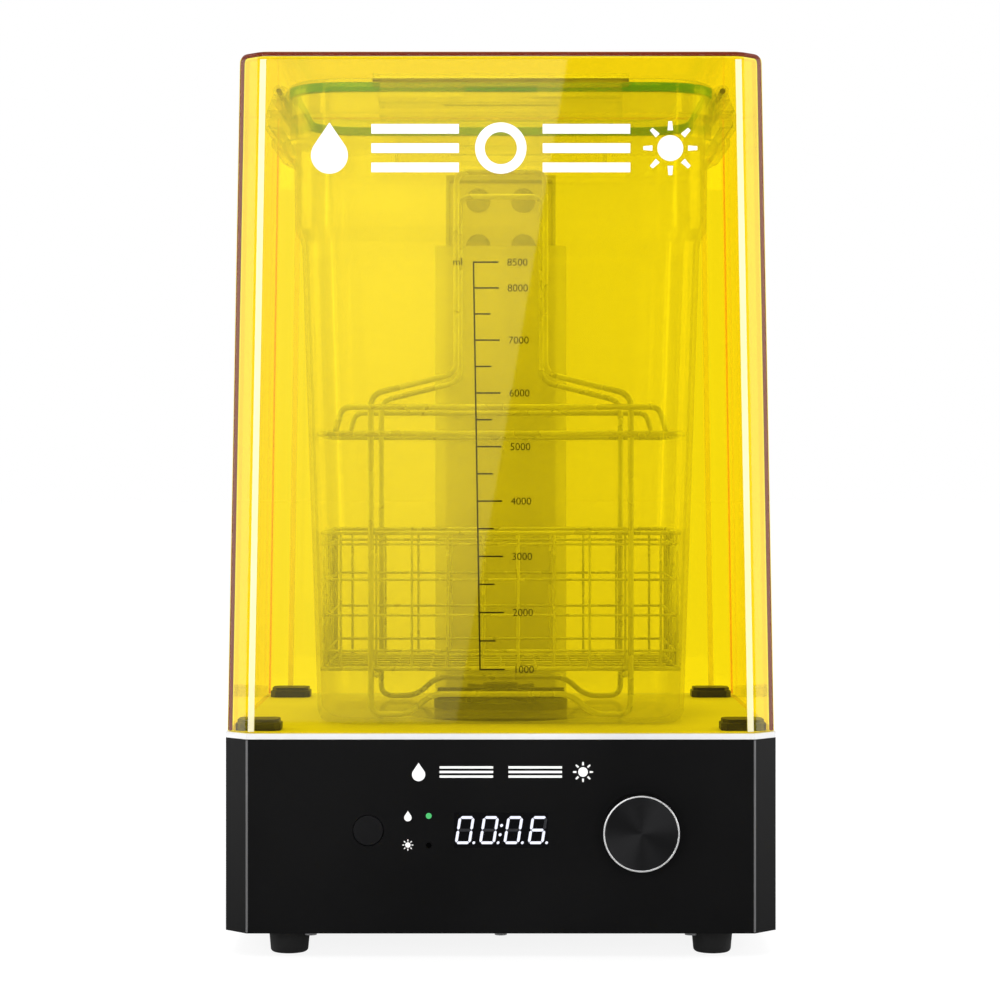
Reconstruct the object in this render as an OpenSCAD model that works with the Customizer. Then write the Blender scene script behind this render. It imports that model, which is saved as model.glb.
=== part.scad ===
// Wash-and-cure station for resin prints: a control base with a magnetic
// stirrer drive, a clear wash tub with a snap lid, a wire lifting rack with a
// basket, an ultraviolet lamp tower and a yellow lift-off cover.
// Millimetres, +Z up, front towards -Y, origin under the middle of the feet.

/* [Base] */
// Width of the base housing
base_w = 290; // [280:1:300]
// Depth of the base housing
base_d = 270; // [262:1:280]
// Height of the top face of the deck plate above the ground
deck_top = 117; // [115:1:119]
// Height of the feet, which is the underside of the housing
foot_h = 12.5; // [10:0.5:14]
// Flat cut across the vertical corners of the housing
base_cut = 12; // [8:1:16]
// Thickness of the housing walls
base_wall = 3; // [2:0.5:3]

/* [Cover] */
// Height of the top of the cover above the ground
cover_top = 475.5; // [472:0.5:480]
// Gap from the edge of the base to the foot of the cover
cover_inset = 0.7; // [0.5:0.1:1]
// How far each cover wall leans in from bottom to top
cover_lean = 6; // [4:0.5:6]
// Thickness of the cover walls
cover_wall = 3; // [2:0.5:3]

/* [Tub] */
// Half width of the tub foot
tub_foot_w = 100.5; // [100:0.5:101]
// Half depth of the tub foot
tub_foot_d = 80; // [80:0.5:81]
// Distance of the tub centre in front of the base centre
tub_forward = 7.5; // [7:0.5:8]

/* [Rack] */
// Diameter of the heavy rack wire
wire_d = 3.2; // [3:0.1:3.2]
// Width of the flat bars that stand for the thin basket wires
mesh_d = 1.8; // [1.4:0.1:2]
// Pitch of the basket mesh
mesh_pitch = 19.5; // [17:0.5:21]

/* [Controls] */
// Diameter of the control knob
knob_d = 40; // [38:0.5:43]
// Diameter of the mode button
button_d = 15.6; // [12:0.2:16]
// Travel of the mode button
button_travel = 1; // [0.5:0.1:1]

/* [Hidden] */
$fn = 48;
body_y = 6;
tub_y = -tub_forward;
front_y = -base_d / 2;
back_y = base_d / 2;
gap = 0.3;
deck_t = 3;
deck_under = deck_top - deck_t;
stand_z = deck_top + gap;

// Bottom closure and its fasteners
plate_t = 2;
plate_top = foot_h + plate_t;
flange_t = 3;
flange_w = 12;
foot_x = 112;
foot_y = base_d / 2 - 20;
foot_r = 11;

// Magnetic stirrer drive
disc_r = 55;
disc_t = 6;
disc_top = deck_top - gap;
disc_under = disc_top - disc_t;
shaft_r = 4;
motor_r = 30;
motor_h = 40;
motor_top = 84;
bracket_t = 2.5;
post_x = 62;
post_y = 14;

// Front controls, all measured on the front face
button_x = -69.4;
button_z = 66.3;
led_x = -37.7;
wash_led_z = 74;
cure_led_z = 58.6;
led_r = 1.5;
window_x = 0.2;
window_z = 66.6;
window_w = 49.4;
window_h = 18.4;
knob_x = 72.9;
knob_z = 66.3;
knob_len = 12.5;
knob_gap = 1.5;
board_y = front_y + 11;
board_t = 1.6;

// Rear power inlet and switch
jack_x = -95;
rocker_x = -62;
rear_z = 60;
rear_proud = 2;
rocker_y = back_y - 3;
rocker_tilt = 8;

// Ultraviolet lamp tower
lamp_y = 103;
lamp_w = 67;
lamp_depth = 19;
lamp_top = 436;
lamp_wall = 2;
lens_r = 7.5;
lens_x = 13.8;
lens_pitch = 28;
lens_rows = 11;
lens_top = 420.8;
lens_y = lamp_y + 5;
shield_w = 80;
shield_top = 392.6;

// Tub, lid and latches
tub_wall = 2.2;
tub_floor = stand_z + 2.5;
tub_rise_w = 8.3;
rim_top = 457.6;
flange_half_w = 119.5;
flange_half_d = 99;
flange_z = 430;
lug_reach = 127.6;
lid_half_w = 118;
lid_half_d = 97.5;
lid_top = 465.5;
hinge_out = 3.7;
hinge_z = 463;
pin_r = 1.5;
latch_bore_r = 1.55;
latch_long = 129;
latch_short = 110;
ear_w = 3.4;

// Rack and basket
loop_y = 64;
rack_z = tub_floor + 0.4 + wire_d / 2;
loop_half = 71;
handle_half = 24.3;
handle_top = 418;
shoulder_z = 296.5;
neck_z = 308;
ring_z = 275;
hanger_z = 289.5;
basket_half_w = 98.4;
basket_half_d = 60;
basket_low = 145;
basket_high = 222;
rim_bar = 3;
first_row = 11;

// ---- Shared helpers ----

// Everything is drawn about the middle of the base, then set back so that
// the knob and the rear fittings stand out equally from the origin.
module placed() {
    translate([0, body_y, 0]) children();
}

function oct_points(hw, hd, cut) = [
    [-hw + cut, -hd], [hw - cut, -hd], [hw, -hd + cut], [hw, hd - cut],
    [hw - cut, hd], [-hw + cut, hd], [-hw, hd - cut], [-hw, -hd + cut]
];

function round_points(hw, hd, r, steps = 6) = [
    for (q = [0:3], i = [0:steps])
        let (a = 180 + 90 * q + 90 * i / steps,
             sx = (q == 0 || q == 3) ? -1 : 1,
             sy = (q < 2) ? -1 : 1)
        [sx * (hw - r) + r * cos(a), sy * (hd - r) + r * sin(a)]
];

function at_height(points, z) = [for (p = points) [p[0], p[1], z]];

// Closed solid through a list of rings with the same number of points.
module loft(rings) {
    n = len(rings[0]);
    last = len(rings) - 1;
    points = [for (ring = rings) for (p = ring) p];
    sides = [for (k = [0:last - 1], i = [0:n - 1])
        let (j = (i + 1) % n)
        [(k + 1) * n + i, (k + 1) * n + j, k * n + j, k * n + i]];
    first_cap = [for (i = [0:n - 1]) i];
    last_cap = [for (i = [n - 1:-1:0]) last * n + i];
    polyhedron(points, concat([first_cap, last_cap], sides), convexity = 8);
}

module oct_prism(hw, hd, cut, z0, z1) {
    translate([0, 0, z0]) linear_extrude(z1 - z0) polygon(oct_points(hw, hd, cut));
}

module post(r, z0, z1) {
    translate([0, 0, z0]) cylinder(h = z1 - z0, r = r);
}

// Cylinder whose axis runs front to back, from y0 to y1.
module rod_y(r, y0, y1) {
    translate([0, y0, 0]) rotate([-90, 0, 0]) cylinder(h = y1 - y0, r = r);
}

// Block centred on x and z, from y0 to y1.
module block_y(w, h, y0, y1) {
    translate([-w / 2, y0, -h / 2]) cube([w, y1 - y0, h]);
}

module four_corners(x, y) {
    for (sx = [-1, 1], sy = [-1, 1]) translate([sx * x, sy * y, 0]) children();
}

// Path with its corners rounded by short curves that start r before each one.
function unit(v) = v / norm(v);
function bend(a, p, b, r, steps = 5) =
    let (s = p + unit(a - p) * r, e = p + unit(b - p) * r)
    [for (i = [0:steps])
        let (t = i / steps) s * (1 - t) * (1 - t) + p * 2 * t * (1 - t) + e * t * t];
function round_loop(c, r) = let (n = len(c)) [
    for (i = [0:n - 1]) each bend(c[(i + n - 1) % n], c[i], c[(i + 1) % n], r)
];
function round_open(c, r) = let (n = len(c)) concat(
    [c[0]], [for (i = [1:n - 2]) each bend(c[i - 1], c[i], c[i + 1], r)], [c[n - 1]]
);

// Round wire along a flat path; flat is the normal of the path's plane.
module wire(path, d, flat, closed = false, sides = 8) {
    n = len(path);
    function before(i) = closed ? path[(i + n - 1) % n] : path[max(i - 1, 0)];
    function after(i) = closed ? path[(i + 1) % n] : path[min(i + 1, n - 1)];
    points = [for (i = [0:n - 1], k = [0:sides - 1])
        let (t = unit(after(i) - before(i)), b = cross(t, flat), a = 360 * k / sides)
        path[i] + (flat * cos(a) + b * sin(a)) * d / 2];
    spans = closed ? n : n - 1;
    skin = [for (i = [0:spans - 1], k = [0:sides - 1])
        let (j = (i + 1) % n, m = (k + 1) % sides)
        [i * sides + k, i * sides + m, j * sides + m, j * sides + k]];
    ends = closed ? [] : [
        [for (k = [sides - 1:-1:0]) k],
        [for (k = [0:sides - 1]) (n - 1) * sides + k]
    ];
    polyhedron(points, concat(skin, ends), convexity = 8);
}

// ---- Base ----

module flange_screw_spots() {
    for (x = [-100, 0, 100], s = [-1, 1])
        translate([x, s * (base_d / 2 - base_wall - 6), 0]) children();
    for (s = [-1, 1])
        translate([s * (base_w / 2 - base_wall - 6), 0, 0]) children();
}

module base_housing() {
    color("#1b1b1c") placed() difference() {
        oct_prism(base_w / 2, base_d / 2, base_cut, foot_h, deck_under);
        oct_prism(base_w / 2 - flange_w, base_d / 2 - flange_w, base_cut, foot_h - 1, deck_under + 1);
        oct_prism(base_w / 2 - base_wall, base_d / 2 - base_wall, base_cut - 1,
            foot_h - 1, plate_top);
        oct_prism(base_w / 2 - base_wall, base_d / 2 - base_wall, base_cut - 1,
            plate_top + flange_t, deck_under - flange_t);
        flange_screw_spots() post(1.6, foot_h, deck_under + 1);
        translate([button_x, 0, button_z]) rod_y(button_d / 2 + 0.4, front_y - 1, front_y + 5);
        translate([led_x, 0, wash_led_z]) rod_y(led_r + 0.05, front_y - 1, front_y + 5);
        translate([led_x, 0, cure_led_z]) rod_y(led_r + 0.05, front_y - 1, front_y + 5);
        translate([window_x, 0, window_z]) block_y(window_w, window_h, front_y - 1, front_y + 5);
        translate([knob_x, 0, knob_z]) rod_y(3.6, front_y - 1, front_y + 5);
        translate([jack_x, 0, rear_z]) rod_y(6, back_y - 5, back_y + 1);
        translate([rocker_x, 0, rear_z]) block_y(13, 19, back_y - 5, back_y + 1);
    }
}

module lamp_screw_spots() {
    for (s = [-1, 1]) translate([s * 26, lamp_y + 14, 0]) children();
}

module bottom_plate() {
    slot_w = 3;
    slot_l = 30;
    color("#2a2a2c") placed() difference() {
        oct_prism(base_w / 2 - base_wall, base_d / 2 - base_wall, base_cut - 1, foot_h, plate_top);
        flange_screw_spots() post(1.7, foot_h - 1, plate_top + 1);
        four_corners(foot_x, foot_y) post(2.1, foot_h - 1, plate_top + 1);
        for (s = [-1, 1], i = [-4:4])
            translate([s * 70 - slot_l / 2, i * 8 - slot_w / 2, foot_h - 1])
                cube([slot_l, slot_w, plate_t + 2]);
    }
}

module bottom_screws() {
    color("#c9cacc") placed() flange_screw_spots() difference() {
        union() {
            post(1.6, foot_h, plate_top + flange_t);
            post(3.2, foot_h - 2, foot_h);
        }
        translate([0, 0, foot_h - 3]) cylinder(h = 2, r = 1.2, $fn = 6);
    }
}

module rubber_feet() {
    color("#101010") placed() four_corners(foot_x, foot_y) rotate_extrude()
        polygon(concat(
            [[4.5, 0]],
            [for (i = [0:4]) [foot_r - 3 + 2 * sin(22.5 * i), 2 - 2 * cos(22.5 * i)]],
            [[foot_r, foot_h], [2.1, foot_h], [2.1, 5.5], [4.5, 5.5]]));
}

module foot_screws() {
    color("#b8babd") placed() four_corners(foot_x, foot_y) union() {
        post(4.2, 3, 5.5);
        post(2.1, 5.5, plate_top + 3);
    }
}

module deck_plate() {
    color("#cfd0d0") placed() difference() {
        oct_prism(base_w / 2, base_d / 2, base_cut, deck_under, deck_top);
        translate([0, tub_y, 0]) post(disc_r + 0.6, deck_under - 1, deck_top + 1);
        translate([-12, lamp_y + 5, deck_under - 1]) cube([24, 8, deck_t + 2]);
        lamp_screw_spots() post(1.6, deck_under - 1, deck_top + 1);
        flange_screw_spots() post(1.6, deck_under - 1, deck_under + 2);
    }
}

module deck_screws() {
    color("#c9cacc") placed() flange_screw_spots() union() {
        post(1.6, deck_under - flange_t, deck_under + 2);
        post(3, deck_under - flange_t - 2, deck_under - flange_t);
    }
}

module cover_blocks() {
    block_x = 128.6;
    block_y_out = 110;
    block_cut = 3;
    color("#161617") placed() four_corners(block_x, block_y_out)
        union() {
            oct_prism(12, 10, block_cut, deck_top, deck_top + 4);
            oct_prism(11, 9, block_cut, deck_top + 4, deck_top + 6);
        }
}

// ---- Front controls ----

module display_window() {
    color("#08080a") placed() translate([window_x, 0, window_z])
        block_y(window_w, window_h, front_y, front_y + 2.5);
}

module display_module() {
    color("#202024") placed() translate([window_x, 0, window_z])
        block_y(window_w - 0.4, window_h - 0.4, front_y + 2.6, board_y);
}

module front_led() {
    rod_y(led_r, front_y - 0.3, board_y - 5);
    rod_y(led_r + 0.4, board_y - 5, board_y);
}

module wash_led() {
    color("#3ad26b") placed() translate([led_x, 0, wash_led_z]) front_led();
}

module cure_led() {
    color("#3a3a3c") placed() translate([led_x, 0, cure_led_z]) front_led();
}

module front_board() {
    board_w = 196;
    board_h = 56;
    color("#1f6b3a") placed() translate([0, 0, window_z]) difference() {
        block_y(board_w, board_h, board_y, board_y + board_t);
        for (s = [-1, 1]) translate([s * 92, 0, 22]) rod_y(1.6, board_y - 1, board_y + 3);
    }
}

module button_switch() {
    color("#303033") placed() translate([button_x, 0, button_z]) union() {
        block_y(6, 6, board_y - 1.5, board_y);
        rod_y(1.5, board_y - 2.7, board_y - 1.5);
    }
}

module mode_button() {
    stem_back = board_y - 2.8 - button_travel;
    color("#262628") placed() translate([button_x, 0, button_z]) union() {
        rod_y(button_d / 2, front_y - 0.3, front_y + base_wall + 0.4);
        rod_y(button_d / 2 + 1.6, front_y + base_wall + 0.4, front_y + base_wall + 1.6);
        rod_y(2, front_y + base_wall + 1.6, stem_back);
    }
}

// Rotary encoder with a push switch: body, plunger and shaft.
module encoder_body() {
    color("#8d8f92") placed() translate([knob_x, 0, knob_z]) difference() {
        union() {
            block_y(15, 15, front_y + base_wall + 0.5, board_y);
            rod_y(3.5, front_y, front_y + base_wall + 0.5);
        }
        rod_y(3.06, front_y - 2, board_y - 1.9);
    }
}

module encoder_shaft() {
    color("#b9bbbe") placed() translate([knob_x, 0, knob_z])
        rod_y(3, front_y - 10, board_y - 4);
}

module encoder_plunger() {
    color("#3c3c40") placed() translate([knob_x, 0, knob_z])
        rod_y(2.4, board_y - 3.9, board_y - 2.7);
}

module knob_shell() {
    face_y = front_y - knob_gap - knob_len;
    color("#141416") placed() translate([knob_x, face_y, knob_z]) rotate([-90, 0, 0])
        rotate_extrude($fn = 96) polygon([
            [0, 0.6], [knob_d / 2 - 2.6, 0.6], [knob_d / 2 - 2.1, 0], [knob_d / 2 - 0.9, 0],
            [knob_d / 2, 0.9], [knob_d / 2, knob_len], [knob_d / 2 - 1.6, knob_len],
            [knob_d / 2 - 1.6, 3], [0, 3]
        ]);
}

module knob_hub() {
    face_y = front_y - knob_gap - knob_len;
    color("#3a3a3d") placed() translate([knob_x, face_y, knob_z]) rotate([-90, 0, 0])
        difference() {
            union() {
                post(knob_d / 2 - 1.6, 3, 5);
                post(6, 5, knob_len);
            }
            post(3, 4, knob_len + 1);
        }
}

// ---- Boards and wiring inside the base ----

module main_board_spots() {
    for (x = [-108, -28], y = [38, 96]) translate([x, y, 0]) children();
}

module main_board() {
    board_z = plate_top + 8;
    color("#1c5f36") placed() union() {
        difference() {
            translate([-114, 32, board_z]) cube([92, 70, board_t]);
            main_board_spots() post(1.6, board_z - 1, board_z + 3);
        }
        translate([-100, 50, board_z + board_t]) cube([24, 22, 12]);
        translate([-64, 44, board_z + board_t]) cube([14, 14, 2]);
        translate([-60, 84, board_z + board_t]) cube([22, 8, 7]);
        translate([-42, 56, board_z + board_t]) cylinder(h = 14, r = 5);
        translate([-42, 70, board_z + board_t]) cylinder(h = 14, r = 5);
    }
}

module board_standoffs() {
    board_z = plate_top + 8;
    color("#c8a95c") placed() main_board_spots() union() {
        post(3, plate_top, board_z);
        post(1.6, board_z, board_z + board_t);
        post(2.8, board_z + board_t, board_z + board_t + 1.8);
    }
}

// Flat cable from the front board back to the socket on the main board.
module ribbon_cable() {
    ribbon_w = 22;
    ribbon_x = -49;
    front_end = board_y + board_t;
    run_z = 48;
    socket_y = 87;
    socket_top = plate_top + 8 + board_t + 7;
    color("#a9abb0") placed() translate([ribbon_x - ribbon_w / 2, 0, 0]) rotate([90, 0, 90])
        linear_extrude(ribbon_w) polygon([
            [front_end, run_z], [socket_y, run_z], [socket_y, socket_top],
            [socket_y + 1, socket_top], [socket_y + 1, run_z + 1], [front_end, run_z + 1]
        ]);
}

// ---- Rear inlet and switch ----

module power_jack() {
    color("#121214") placed() translate([jack_x, 0, rear_z]) difference() {
        union() {
            rod_y(6, back_y - 16, back_y);
            rod_y(7.5, back_y, back_y + rear_proud);
        }
        rod_y(2.75, back_y - 10, back_y + rear_proud + 1);
    }
}

module jack_pin() {
    color("#d8c070") placed() translate([jack_x, 0, rear_z]) rod_y(1.05, back_y - 10, back_y + 0.5);
}

module rocker_frame() {
    color("#19191b") placed() translate([rocker_x, 0, rear_z]) difference() {
        union() {
            block_y(13, 19, back_y - 12, back_y);
            block_y(15, 21, back_y, back_y + rear_proud);
        }
        block_y(10.4, 16.4, back_y - 10, back_y + rear_proud + 1);
        translate([-6.2, rocker_y, 0]) rotate([0, 90, 0]) cylinder(h = 12.4, r = 1.55);
    }
}

module power_rocker() {
    rocker_w = 9.8;
    color("#232326") placed() translate([rocker_x, rocker_y, rear_z])
        rotate([-rocker_tilt, 0, 0]) union() {
            translate([-rocker_w / 2, 0, 0]) rotate([90, 0, 90]) linear_extrude(rocker_w)
                polygon([[-5, -2.5], [2, -7.2], [3.4, -7], [2.4, 0], [3.4, 7], [2, 7.2], [-5, 2.5]]);
            translate([-6, 0, 0]) rotate([0, 90, 0]) cylinder(h = 12, r = 1.5);
        }
}

// ---- Magnetic stirrer drive ----

module magnet_spots(r, count = 4) {
    for (k = [0:count - 1]) rotate([0, 0, 360 * k / count]) translate([r, 0, 0]) children();
}

module drive_disc() {
    color("#1d1d1f") placed() translate([0, tub_y, 0]) difference() {
        union() {
            post(disc_r, disc_under, disc_top);
            post(12, disc_under - 10, disc_under);
        }
        post(shaft_r, disc_under - 11, disc_top - 2);
        magnet_spots(34) post(10, disc_under - 1, disc_top - 1.5);
    }
}

module drive_magnets() {
    color("#a8abb0") placed() translate([0, tub_y, 0])
        magnet_spots(34) post(10, disc_under + 0.2, disc_top - 1.5);
}

module motor_shaft() {
    color("#c4c6c9") placed() translate([0, tub_y, 0])
        post(shaft_r, motor_top - 18, disc_top - 2);
}

module motor_can() {
    color("#6f7276") placed() translate([0, tub_y, 0]) difference() {
        union() {
            post(motor_r, motor_top - motor_h, motor_top);
            post(motor_r - 6, motor_top - motor_h - 3, motor_top - motor_h);
        }
        post(shaft_r + 0.05, motor_top - 19, motor_top + 1);
        magnet_spots(14) post(1.5, motor_top - 5, motor_top + 1);
    }
}

module motor_bracket() {
    color("#9a9ca0") placed() translate([0, tub_y, 0]) difference() {
        union() {
            translate([-post_x - 8, -post_y - 8, motor_top])
                cube([2 * post_x + 16, 2 * post_y + 16, bracket_t]);
            four_corners(post_x, post_y) post(4, motor_top + bracket_t, deck_under);
        }
        post(shaft_r + 4, motor_top - 1, motor_top + bracket_t + 1);
        magnet_spots(14) post(1.6, motor_top - 1, motor_top + bracket_t + 1);
    }
}

module motor_screws() {
    color("#c9cacc") placed() translate([0, tub_y, 0]) magnet_spots(14) union() {
        post(1.5, motor_top - 5, motor_top + bracket_t);
        post(2.8, motor_top + bracket_t, motor_top + bracket_t + 2);
    }
}

// ---- Ultraviolet lamp tower ----

module lamp_housing() {
    foot_w = 76;
    color("#26262a") placed() difference() {
        union() {
            translate([-lamp_w / 2, lamp_y, deck_top]) cube([lamp_w, lamp_depth, lamp_top - deck_top]);
            translate([-foot_w / 2, lamp_y + 8, deck_top]) cube([foot_w, 13, 2.5]);
        }
        translate([-lamp_w / 2 + lamp_wall, lamp_y - 1, deck_top + 4])
            cube([lamp_w - 2 * lamp_wall, lamp_depth - lamp_wall + 1, lamp_top - deck_top - 7]);
        translate([-12, lamp_y + 5, deck_top - 1]) cube([24, 8, 6]);
        lamp_screw_spots() post(1.6, deck_top - 1, deck_top + 5);
    }
}

module lamp_screws() {
    color("#c9cacc") placed() lamp_screw_spots() union() {
        post(1.6, deck_under - 2, deck_top + 4);
        post(2.8, deck_top + 4, deck_top + 5.8);
    }
}

module lens_spots() {
    for (s = [-1, 1], k = [0:lens_rows - 1])
        translate([s * lens_x, lens_y, lens_top - k * lens_pitch]) children();
}

module lamp_board() {
    board_half = lamp_w / 2 - lamp_wall - 0.5;
    chip = 5;
    color("#d9d6c4") placed() union() {
        translate([-board_half, lens_y, deck_top + 5])
            cube([2 * board_half, board_t, lamp_top - deck_top - 10]);
        lens_spots() block_y(chip, chip, -1, 0);
    }
}

module lamp_lenses() {
    color("#dfe4ea") placed() lens_spots() difference() {
        rotate([90, 0, 0]) rotate_extrude() polygon(concat(
            [[0, 0.1], [lens_r, 0.1]],
            [for (i = [0:4]) [lens_r * cos(18 * i) , 1.4 + 2.4 * sin(18 * i)]],
            [[0, 3.8]]));
        block_y(5.4, 5.4, -1.2, 0);
    }
}

module lamp_shield() {
    color("#3a3520") placed() translate([-shield_w / 2, lamp_y - 2, deck_top])
        cube([shield_w, 1.9, shield_top - deck_top]);
}

// ---- Cover ----

module cover() {
    foot_hw = base_w / 2 - cover_inset;
    foot_hd = base_d / 2 - cover_inset;
    cut = base_cut - 0.5;
    rise = cover_top - stand_z;
    function lean(z) = cover_lean * (z - stand_z) / rise;
    function outer(z, shrink = 0) = at_height(oct_points(
        foot_hw - lean(z) - shrink, foot_hd - lean(z) - shrink, cut - 0.3 * shrink), z);
    function inner(z) = at_height(oct_points(
        foot_hw - lean(z) - cover_wall, foot_hd - lean(z) - cover_wall, cut - 1.2), z);
    round_r = 4.5;
    color("#f5d800", 0.45) placed() loft(concat(
        [inner(cover_top - cover_wall), inner(stand_z), outer(stand_z)],
        [for (i = [0:4]) outer(cover_top - round_r + round_r * sin(22.5 * i),
            round_r * (1 - cos(22.5 * i)))]));
}

// ---- Wash tub and its impeller ----

module tub_shell() {
    function outline(hw, hd, r, z) = at_height(round_points(hw, hd, r), z);
    function wall(z, inset) = let (t = (z - stand_z) / (379 - stand_z))
        outline(tub_foot_w + tub_rise_w * t - inset, tub_foot_d + tub_rise_w * t - inset,
            26 - inset / 2, z);
    loft([
        outline(tub_foot_w - 7, tub_foot_d - 7, 20, stand_z),
        outline(tub_foot_w - 2, tub_foot_d - 2, 24, stand_z + 1.6),
        wall(stand_z + 6, 0),
        wall(379, 0),
        outline(112.5, 92, 28, 385),
        outline(113, 92.5, 28.5, flange_z - 3),
        outline(flange_half_w, flange_half_d, 34, flange_z),
        outline(flange_half_w, flange_half_d, 34, flange_z + 3),
        outline(115, 94.5, 30.5, flange_z + 4),
        outline(115, 94.5, 30.5, rim_top),
        outline(111.8, 91.3, 28, rim_top),
        outline(110.8, 90.3, 27, 392),
        wall(379, tub_wall),
        wall(stand_z + 8, tub_wall),
        outline(tub_foot_w - 9.5, tub_foot_d - 9.5, 18, tub_floor)
    ]);
}

module tub() {
    lug_half = 48;
    color("#e8efe9", 0.35) placed() translate([0, tub_y, 0]) union() {
        tub_shell();
        for (s = [-1, 1]) translate([s * (flange_half_w - 1), lug_half, 0]) rotate([90, 0, 0])
            linear_extrude(2 * lug_half) polygon([
                [0, flange_z], [s * (lug_reach - flange_half_w + 1), flange_z + 5],
                [s * (lug_reach - flange_half_w + 1), flange_z + 9],
                [s * (lug_reach - flange_half_w - 1), flange_z + 9], [s * 2, flange_z + 3],
                [0, flange_z + 3]]);
        post(7, tub_floor - 1, tub_floor + 0.3);
    }
}

module impeller_pin() {
    color("#c4c6c9") placed() translate([0, tub_y, 0]) post(2.5, tub_floor + 0.3, tub_floor + 9);
}

module impeller() {
    hub_low = tub_floor + 0.7;
    disc_high = hub_low + 5;
    blades = 6;
    color("#2c2f2a") placed() translate([0, tub_y, 0]) difference() {
        union() {
            post(38, hub_low, disc_high);
            post(10, disc_high, disc_high + 8.5);
            for (k = [0:blades - 1]) rotate([0, 0, 360 * k / blades])
                translate([8, -1.5, disc_high - 1]) cube([28, 3, 7]);
        }
        post(2.55, hub_low - 1, tub_floor + 9.5);
        magnet_spots(24) post(6, hub_low - 1, hub_low + 3);
    }
}

module impeller_magnets() {
    color("#9fa2a6") placed() translate([0, tub_y, 0])
        magnet_spots(24) post(6, tub_floor + 0.9, tub_floor + 3.7);
}

// ---- Rack and basket ----

// One closed wire loop: a wide frame with a raised foot and a narrow handle.
module rack_loop(y) {
    foot_rise = 11;
    corners = [
        [-loop_half, rack_z], [-50, rack_z], [-38, rack_z + foot_rise],
        [38, rack_z + foot_rise], [50, rack_z], [loop_half, rack_z],
        [loop_half, shoulder_z], [handle_half, neck_z], [handle_half, handle_top],
        [-handle_half, handle_top], [-handle_half, neck_z], [-loop_half, shoulder_z]
    ];
    path = round_loop([for (c = corners) [c[0], y, c[1]]], 5);
    wire(path, wire_d, [0, 1, 0], closed = true);
}

module rack_front_loop() {
    color("#b9bbb6") placed() translate([0, tub_y, 0]) rack_loop(-loop_y);
}

module rack_back_loop() {
    color("#b9bbb6") placed() translate([0, tub_y, 0]) rack_loop(loop_y);
}

// Cross wires under the basket, welded between the two loops.
module rack_ties() {
    tie_x = loop_half - wire_d - 0.1;
    tie_z = basket_low - wire_d / 2 - 0.1;
    reach = loop_y + wire_d / 2;
    color("#b9bbb6") placed() translate([0, tub_y, 0]) for (s = [-1, 1])
        translate([s * tie_x, 0, tie_z]) rod_y(wire_d / 2, -reach, reach);
}

module rack_ring() {
    ring_hw = 99.4;
    ring_hd = loop_y + wire_d + 0.1;
    path = round_loop([for (c = oct_points(ring_hw, ring_hd, 5)) [c[0], c[1], ring_z]], 4);
    color("#b9bbb6") placed() translate([0, tub_y, 0])
        wire(path, wire_d, [0, 0, 1], closed = true);
}

module rack_hangers() {
    hang_y = loop_y + wire_d + 0.1;
    low = ring_z + wire_d / 2 + 0.1;
    color("#b9bbb6") placed() translate([0, tub_y, 0]) for (s = [-1, 1]) wire(
        round_open([for (c = [[-90, low], [-86.5, hanger_z], [86.5, hanger_z], [90, low]])
            [c[0], s * hang_y, c[1]]], 5), wire_d, [0, 1, 0]);
}

// Flat grille panel: thin mesh bars between two heavy rims.
module mesh_panel(half_w, z0, z1) {
    reach = (floor(2 * half_w / mesh_pitch) - 1) * mesh_pitch / 2;
    union() {
        for (z = [z0, z1 - rim_bar]) translate([-half_w, z]) square([2 * half_w, rim_bar]);
        for (z = [z0 + first_row:mesh_pitch:z1 - rim_bar - 2])
            translate([-half_w, z - mesh_d / 2]) square([2 * half_w, mesh_d]);
        for (x = [-reach:mesh_pitch:reach])
            translate([x - mesh_d / 2, z0]) square([mesh_d, z1 - z0]);
        for (s = [-1, 1]) translate([s * (half_w - mesh_d / 2) - mesh_d / 2, z0])
            square([mesh_d, z1 - z0]);
    }
}

module basket_wall(half_w) {
    rotate([90, 0, 0]) linear_extrude(mesh_d) mesh_panel(half_w, basket_low, basket_high);
}

module basket_end_pair(s) {
    color("#a9aca6") placed() translate([0, tub_y + s * basket_half_d + (s < 0 ? mesh_d : 0), 0])
        basket_wall(basket_half_w);
}

module basket_side(s) {
    reach = basket_half_d - mesh_d - 0.1;
    color("#a9aca6") placed()
        translate([s * basket_half_w - (s > 0 ? mesh_d : 0), tub_y, 0])
        rotate([0, 0, 90]) basket_wall(reach);
}

module basket_front() {
    basket_end_pair(-1);
}

module basket_back() {
    basket_end_pair(1);
}

module basket_left() {
    basket_side(-1);
}

module basket_right() {
    basket_side(1);
}

module basket_floor() {
    hw = basket_half_w - mesh_d - 0.1;
    hd = basket_half_d - mesh_d - 0.1;
    color("#a9aca6") placed() translate([0, tub_y, basket_low]) linear_extrude(mesh_d)
        mesh_panel(hw, -hd, hd);
}

// ---- Lid, gasket and snap latches ----

// Puts children on one side of the lid, at the latch hinge, facing -Y.
module on_side(k) {
    reach = (k % 2 == 0 ? lid_half_d : lid_half_w) + hinge_out;
    placed() translate([0, tub_y, hinge_z]) rotate([0, 0, 90 * k])
        translate([0, -reach, 0]) children();
}

function latch_length(k) = k % 2 == 0 ? latch_long : latch_short;

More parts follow.
